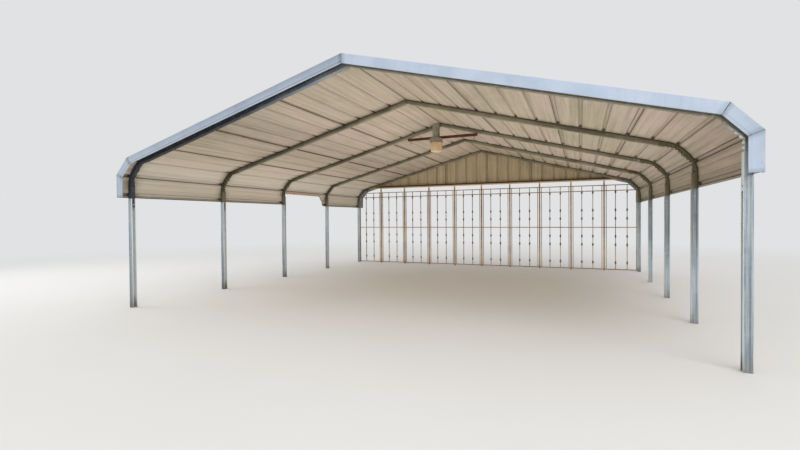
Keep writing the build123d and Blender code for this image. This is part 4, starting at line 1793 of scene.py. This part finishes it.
@dataclass
class Gable:
    """Upright ribbed sheets above the screen, with the screws that hold them.

    Attributes:
        low: Height of their lower edge.
        clearance: Below the roof's line.
        laps: Numbers of the ribs where sheets lap.
    """

    low: float = 1.778
    clearance: float = 0.0015
    laps: tuple[int, ...] = (-8, -4, 0, 4, 8)

    def profile(self, reach: float) -> Array:
        """Ribs and low ribs over the whole width, as places across and heights.

        Args:
            reach: Half the width.

        Returns:
            The rounded line, one row of place and height for each point.
        """
        roof = Roof()
        most = math.floor((reach - roof.base / 2) / RIB_PITCH - 0.5)
        ribs = (np.arange(-most - 1, most + 1) + 0.5) * RIB_PITCH
        line = np.vstack([roof.rib(ribs), roof.minors(ribs[1:])])
        line = line[np.argsort(line[:, 0], kind="stable")]
        return rounded(np.vstack([[[-reach, 0.0]], line, [[reach, 0.0]]]), 0.004, 2)

    def wall(self) -> Patch:
        """The sheets as one wall, each column of points cut to the roof's line.

        Returns:
            The wall.
        """
        back = BOWS[-1] + BOW_SIZE / 2 + LAP
        peak = ROOF_LINE.ridge - self.clearance
        reach = (peak - self.low) / math.tan(PITCH)
        line = self.profile(reach)
        laps = [(lap + 0.5) * RIB_PITCH for lap in self.laps]
        # Dirt at the rib feet, painted shade in the hollows and laps, as on the roof.
        soil = Roof().soil(line, laps, RIB_PITCH / 2)
        rows = np.linspace(0.0, 1.0, 9)
        sides = []
        for face in (line, offset_line(line, SHEET)):
            x = np.clip(face[:, 0], -reach, reach)
            top = peak - np.abs(x) * math.tan(PITCH)
            z = self.low + (top - self.low)[None] * rows[:, None]
            sides.append(np.stack(np.broadcast_arrays(x[None], back + face[None, :, 1], z), -1))
        uv = np.stack([sides[0][..., 0], sides[0][..., 2]], -1)
        return shell(sides[0], sides[1], uv, {"soil": soil[None]})

    def screws(self) -> Patch:
        """Screws into the header, beside every rib, and up both rafters.

        Returns:
            All the screws.
        """
        back = BOWS[-1] + BOW_SIZE / 2 + LAP + SHEET
        x = np.arange(-11, 12) * RIB_PITCH - RIB_PITCH / 2 + SCREW_ASIDE
        header = np.stack([x, 0 * x + back, 0 * x + self.low + 0.02], 1)
        x = x[::2]
        height = ROOF_LINE.ridge - np.abs(x) * math.tan(PITCH) - 0.03
        places = np.vstack([header, np.stack([x, 0 * x + back, height], 1)])
        return scattered(hex_head(0.008, 0.0042, 0.0072), places, facing(np.array([[0.0, 1.0, 0.0]])))

    def build(self) -> None:
        """Puts the wall and its screws in place."""
        put("gable_wall", self.wall(), Finish.GABLE, ["gable_sheets"])
        put("gable_screws", self.screws(), Finish.PLATED)


@dataclass
class Screen:
    """Iron screen across the rear: the frame's own bars, with the knuckles on its pickets.

    Attributes:
        bays: Number of them.
        middle: Height of the screen's middle.
        knuckles: Heights of the knuckles from there.
        bar: Side of the pickets.
    """

    bays: int = 10
    middle: float = 0.847
    knuckles: tuple[float, ...] = (-0.69, -0.34, -0.175, 0.175, 0.34, 0.69)
    bar: float = 0.0127

    def knuckle(self) -> Patch:
        """Small turned collar: three beads on a neck.

        Returns:
            The collar, its middle at the origin.
        """
        half = self.bar / 2
        profile = np.array([
            [half * 1.1, -0.032], [half * 1.7, -0.028], [half * 1.7, -0.022], [half * 1.3, -0.018],
            [half * 2.5, -0.011], [half * 2.8, 0.0], [half * 2.5, 0.011],
            [half * 1.3, 0.018], [half * 1.7, 0.022], [half * 1.7, 0.028], [half * 1.1, 0.032],
        ])
        return turned(profile, 8)

    def places(self) -> Array:
        """Pickets of every bay, at each height of a knuckle.

        Returns:
            One row for each knuckle.
        """
        width = (2 * HALF_WIDTH - CHANNEL) / self.bays
        start = (np.arange(self.bays) - self.bays / 2) * width
        x = (start[:, None] + np.array([width / 3, 2 * width / 3])).ravel()
        z = self.middle + np.array(self.knuckles)
        grid_x, grid_z = np.meshgrid(x, z, indexing="ij")
        return np.stack([grid_x.ravel(), np.full(grid_x.size, BOWS[-1]), grid_z.ravel()], 1)

    def build(self, frame: dict[str, Any]) -> None:
        """Dresses the bars and adds the knuckles.

        Args:
            frame: As it was loaded.
        """
        panels = [f"screen_panel_{number}" for number in range(1, self.bays + 1)]
        dress(frame, Finish.IRON, "gable_header", "screen_uprights", *panels)
        knuckles = scattered(self.knuckle(), self.places(), np.eye(3))
        put("screen_knuckles", knuckles, Finish.KNUCKLE, sharp=50.0)


@dataclass
class YardLight:
    """Light under the middle bow: timbers, bolts, canopy and ribbed lens.

    Attributes:
        x: Place of its axis across the bay.
        board: Side of the block above the canopy.
        bar: Side of the crosspiece.
        bar_half: Half its length.
        canopy: Radius and height of the canopy.
        skirt: How far the canopy hangs down round the lens.
        lens: Radius and height of the lens.
        flutes: Number of the lens's flutes.
    """

    x: float = -0.067
    board: float = 0.089
    bar: float = 0.038
    bar_half: float = 0.56
    canopy: tuple[float, float] = (0.103, 0.06)
    skirt: float = 0.014
    lens: tuple[float, float] = (0.0965, 0.15)
    flutes: int = 48

    @property
    def level(self) -> float:
        """Underside of the crosspiece, whose upper corners meet the rafters."""
        return ROOF_LINE.ridge - self.bar_half * math.tan(PITCH) - BOW_SIZE / math.cos(PITCH) - self.bar

    @property
    def y(self) -> float:
        """Place of the light's axis along the bay."""
        return -(BOW_SIZE + self.board) / 2

    def timber(
        self, low: Array, high: Array, along: int, steps: int, bevel: float, cut: bool = False
    ) -> Patch:
        """Sawn timber with worn arrises: a rounded square carried along one axis.

        Each loop shrinks a little towards both ends, by a bell, and by a sine that runs
        round and along it.

        Args:
            low: Lowest corner.
            high: Highest corner.
            along: Axis that the grain follows.
            steps: Stations along it.
            bevel: Reach of the rounding at each arris.
            cut: Whether the upper end follows the slope of the roof.

        Returns:
            The timber.
        """
        first, second = [axis for axis in range(3) if axis != along]
        a, b = low[[first, second]], high[[first, second]]
        mid = np.array([(a[0] + b[0]) / 2, a[1]])
        square = np.array([mid, [b[0], a[1]], b, [a[0], b[1]], a, mid])
        loop = rounded(square, bevel, 3)[:-1]
        t = np.linspace(0.0, 1.0, steps)
        shape = np.zeros((steps, len(loop), 3))
        worn = 1.0 - 0.012 * bump(np.minimum(t, 1 - t), 0.0, 0.03)
        centre = (a + b) / 2
        rough = 1 + 0.006 * np.sin(t[:, None] * 17 + np.arange(len(loop))[None] * 0.9)
        ring = centre + (loop[None] - centre) * (worn[:, None] * np.minimum(rough, 1.0))[..., None]
        shape[..., first], shape[..., second] = ring[..., 0], ring[..., 1]
        end = high[along] - (np.abs(ring[..., 0]) * math.tan(PITCH) if cut else 0.0)
        shape[..., along] = low[along] + (end - low[along]) * t[:, None]
        uv = np.stack(np.broadcast_arrays(shape[..., along], np.arange(len(loop))[None] * 0.01), -1)
        return tube(shape, uv)

    def canopy_patch(self) -> Patch:
        """Pressed canopy with a rolled shoulder, a swage and a turned rim.

        Returns:
            The canopy, the middle of its top at the origin.
        """
        radius, height = self.canopy
        low = -height - self.skirt
        outline = np.array([
            [0.03, 0.0], [radius - 0.012, 0.0], [radius - 0.003, -0.004], [radius - 0.002, -0.024],
            [radius - 0.005, -0.027], [radius - 0.002, -0.030], [radius - 0.002, low + 0.008],
            [radius, low + 0.006], [radius, low + 0.001], [radius - 0.001, low],
            [radius - 0.003, low + 0.001], [radius - 0.004, -height], [0.03, -height],
        ])
        outline = rounded(outline, 0.002, 2)
        rust = 0.1 + 0.7 * smooth(-outline[:, 1], -low - 0.012, -low)
        return turned(outline, 96, marks={"rust": rust})

    def lens_patch(self) -> Patch:
        """Cup with upright flutes: each ring's radius varies with the absolute sine of the angle.

        Returns:
            The cup, the middle of its rim at the origin.
        """
        radius, height = self.lens
        side, low, bend = radius - 0.009, -height + 0.026, 0.026
        turn = np.radians(np.linspace(0, 90, 9))
        foot = np.stack([side - bend * (1 - np.cos(turn)), low - bend * np.sin(turn)], 1)
        wall = np.linspace([radius, -0.012], foot[0], 10)[1:-1]
        rim = [[radius, 0.0], [radius, -0.0115], [radius - 0.002, -0.013]]
        outer = np.vstack([rim, wall, foot, [[0.004, -height]]])
        inner = offset_line(outer[::-1], 0.003)
        inner[0] = [0.004, -height + 0.003]
        inner[-1] = [radius - 0.003, 0.0]
        profile = np.vstack([outer, inner])
        sides = self.flutes * 8
        angle = np.linspace(0, 2 * math.pi, sides, endpoint=False)
        ridge = np.abs(np.sin(angle * self.flutes / 2)) - 0.64
        fade = smooth(-profile[:, 1], 0.012, 0.02) * smooth(profile[:, 0], 0.03, 0.07)
        fade[len(outer):] = 0.0
        wave = 1.0 + 0.016 * fade[:, None] * np.minimum(ridge[None], 0.3)
        soil = fade[:, None] * smooth(-ridge, 0.2, 0.6)[None]
        patch = turned(profile, sides, wave)
        patch.marks["soil"] = np.broadcast_to(soil, (len(profile), sides)).ravel()
        return patch

    def hangers(self) -> Patch:
        """Two threaded rods with a head in the bow, a washer and a nut below the timber.

        Returns:
            Rods, heads and nuts.
        """
        spot = self.bar_half - 0.05
        low = self.level - 0.05
        high = ROOF_LINE.ridge - (spot + 0.01) * math.tan(PITCH) - (BOW_SIZE - GAUGE) / math.cos(PITCH)
        turns = np.arange(0.0, high - low, 0.0011)
        thread = 0.0046 + 0.0004 * np.abs(np.sin(turns * math.pi / 0.0022))
        rod = turned(np.stack([thread, low + turns], 1), 12)
        head = hex_head(0.017, 0.007, 0.0095, 0.001).moved(np.eye(3), (0, 0, high))
        nut = hex_head(0.017, 0.008, 0.0145, 0.0018).moved(np.diag([1.0, 1.0, -1.0]), (0, 0, self.level))
        one = joined([rod, head, nut])
        return joined([one.moved(np.eye(3), (side * spot, 0, 0)) for side in (-1, 1)])

    def latches(self) -> Patch:
        """Rusted screws round the canopy's rim that hold the lens.

        Returns:
            The screws.
        """
        angle = np.radians(8 + 90 * np.arange(4))
        outward = np.stack([np.cos(angle), np.sin(angle), 0 * angle], 1)
        places = outward * (self.canopy[0] - 0.004) + [self.x, self.y, self.level - self.canopy[1] + 0.006]
        return scattered(hex_head(0.012, 0.003, 0.009, 0.0012), places, facing(outward))

    def build(self) -> None:
        """Puts the light in place."""
        bottom = self.level
        half = self.board / 2
        front = -BOW_SIZE / 2
        peak = ROOF_LINE.ridge - GAUGE / math.cos(PITCH)
        bar = self.timber(
            np.array([-self.bar_half, front, bottom]),
            np.array([self.bar_half, front + self.bar, bottom + self.bar]),
            along=0, steps=40, bevel=0.003,
        )
        block = self.timber(
            np.array([self.x - half, front - self.board, bottom]),
            np.array([self.x + half, front, peak]),
            along=2, steps=14, bevel=0.005, cut=True,
        )
        put("light_bar", bar, Finish.STAINED, ["light_crosspiece"])
        put("light_block", block, Finish.WEATHERED, ["light_board"])
        put("light_rods", self.hangers(), Finish.PLATED, ["light_hangers"])
        shift = (self.x, self.y, bottom)
        put("light_canopy", self.canopy_patch().moved(np.eye(3), shift), Finish.ENAMEL, ["light_housing"])
        shift = (self.x, self.y, bottom - self.canopy[1])
        put("light_cup", self.lens_patch().moved(np.eye(3), shift), Finish.LENS, ["light_lens"], sharp=60.0)
        put("light_latches", self.latches(), Finish.PLATED)


# The studio


@dataclass(frozen=True)
class View:
    """The photograph's viewpoint, as a camera on its eye, heading and focal length.

    Attributes:
        eye: Place of the camera.
        heading_deg: Turned left of +Y.
        pitch_deg: Tilted up.
        roll_deg: Turned about its own axis.
        focal_px: Focal length in the photograph's pixels.
        width_px: Width of the photograph.
        sensor_mm: Width of the camera's sensor.
    """

    eye: tuple[float, float, float] = (1.992, -6.449, 1.049)
    heading_deg: float = 22.78
    pitch_deg: float = -0.84
    roll_deg: float = -0.46
    focal_px: float = 430.3
    width_px: int = 800
    sensor_mm: float = 36.0

    def place(self) -> None:
        """Creates the camera and makes it the scene's."""
        lens = bpy.data.cameras.new("view")
        lens.sensor_fit = "HORIZONTAL"
        lens.sensor_width = self.sensor_mm
        lens.lens = self.focal_px / self.width_px * self.sensor_mm
        lens.clip_end = 200.0
        camera = bpy.data.objects.new("view", lens)
        camera.location = self.eye
        turn = Matrix.Rotation(math.radians(self.heading_deg), 3, "Z")
        tilt = Matrix.Rotation(math.radians(90.0 + self.pitch_deg), 3, "X")
        roll = Matrix.Rotation(math.radians(self.roll_deg), 3, "Z")
        camera.rotation_euler = (turn @ tilt @ roll).to_euler()
        bpy.context.collection.objects.link(camera)
        bpy.context.scene.camera = camera


@dataclass(frozen=True)
class Lamp:
    """Square soft lamp, out of the camera's sight.

    Attributes:
        name: Of the lamp.
        power: In watts.
        size: Of its side.
        spot: Where it hangs.
        aim: What it shines at.
    """

    name: str
    power: float
    size: float
    spot: tuple[float, float, float]
    aim: tuple[float, float, float] = (0.0, 0.0, 1.2)

    def hang(self) -> None:
        """Adds the lamp at its spot, turned towards its aim."""
        light = bpy.data.lights.new(self.name, "AREA")
        light.energy = self.power
        light.size = self.size
        lamp = bpy.data.objects.new(self.name, light)
        lamp.location = self.spot
        lamp.rotation_euler = (Vector(self.aim) - Vector(self.spot)).to_track_quat("-Z", "Y").to_euler()
        lamp.visible_camera = False
        bpy.context.collection.objects.link(lamp)


@dataclass(frozen=True)
class Studio:
    """Pale floor, even sky, two large soft lamps and a glow from the floor under the roof.

    Attributes:
        floor: Colour of the floor.
        grain: Colour of its faint patches.
        backdrop: Colour that the camera and the metal see behind the carport.
        strength: Of the even light from the sky.
        far: Distances over which the floor turns into the backdrop.
        edge: Half the side of the floor.
        lamps: The lamps.
    """

    floor: Rgb = (241, 240, 238)
    grain: Rgb = (235, 234, 232)
    backdrop: Rgb = (225, 226, 227)
    strength: float = 0.72
    far: tuple[float, float] = (4.0, 15.0)
    edge: float = 60.0
    lamps: tuple[Lamp, ...] = (
        Lamp("key", 420.0, 9.0, (6.5, -9.0, 7.5)),
        Lamp("fill", 160.0, 5.0, (-9.0, -4.0, 4.4)),
        Lamp("glow", 64.0, 5.8, (0.0, 0.0, 0.03), (0.0, 0.001, 3.0)),
    )

    def sky(self) -> None:
        """Even light all round, which camera, gloss and glass see as the plain backdrop."""
        world = bpy.data.worlds.new("sky")
        world.use_nodes = True
        tree = world.node_tree
        light = tree.nodes["Background"]
        light.inputs["Color"].default_value = (1, 1, 1, 1)
        light.inputs["Strength"].default_value = self.strength
        seen = tree.nodes.new("ShaderNodeBackground")
        seen.inputs["Color"].default_value = srgb(*self.backdrop)
        path = tree.nodes.new("ShaderNodeLightPath")
        direct = path.outputs["Is Camera Ray"]
        for kind in ("Is Glossy Ray", "Is Transmission Ray"):
            either = tree.nodes.new("ShaderNodeMath")
            either.operation = "MAXIMUM"
            tree.links.new(direct, either.inputs[0])
            tree.links.new(path.outputs[kind], either.inputs[1])
            direct = either.outputs[0]
        mix = tree.nodes.new("ShaderNodeMixShader")
        tree.links.new(direct, mix.inputs[0])
        tree.links.new(light.outputs[0], mix.inputs[1])
        tree.links.new(seen.outputs[0], mix.inputs[2])
        tree.links.new(mix.outputs[0], tree.nodes["World Output"].inputs["Surface"])
        bpy.context.scene.world = world

    def paint(self) -> bpy.types.Material:
        """The floor's material, which the camera sees turn into the backdrop far out.

        Returns:
            The material.
        """
        g = Graph("floor")
        patches = g.ramp(g.noise(g.place(), 0.7, 3), 0.3, 0.7, 0.0, 0.25)
        g.set(Base_Color=g.mix(patches, srgb(*self.floor), srgb(*self.grain)), Roughness=0.9)
        place = g.add("TexCoord").outputs["Object"]
        far = g.add("VectorMath", {0: place}, operation="LENGTH").outputs["Value"]
        seen_far = g.sum("MULTIPLY", g.ramp(far, *self.far), g.add("LightPath").outputs["Is Camera Ray"])
        plain = g.add("Emission", {"Color": srgb(*self.backdrop), "Strength": 1.0}).outputs[0]
        sweep = g.add("MixShader", {0: seen_far, 1: g.shader.outputs[0], 2: plain}).outputs[0]
        g.feed(g.tree.nodes["Material Output"].inputs["Surface"], sweep)
        return g.material

    def ground(self) -> None:
        """Lays the floor."""
        mesh = bpy.data.meshes.new("floor")
        corners = np.array([[-1, -1, 0], [1, -1, 0], [1, 1, 0], [-1, 1, 0]]) * self.edge
        mesh.from_pydata(corners.tolist(), [], [(0, 1, 2, 3)])
        mesh.materials.append(self.paint())
        floor = bpy.data.objects.new("floor", mesh)
        bpy.context.collection.objects.link(floor)

    def build(self) -> None:
        """Sets the sky, lays the floor and hangs the lamps."""
        bpy.context.scene.view_settings.view_transform = "Standard"
        self.sky()
        self.ground()
        for lamp in self.lamps:
            lamp.hang()


def main() -> None:
    """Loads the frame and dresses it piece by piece."""
    logging.basicConfig(level=logging.INFO, format="%(message)s")
    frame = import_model()
    View().place()
    Studio().build()
    Frame().build()
    Roof().build()
    Trim().build()
    Gable().build()
    Screen().build(frame)
    YardLight().build()


if __name__ == "__main__":
    main()
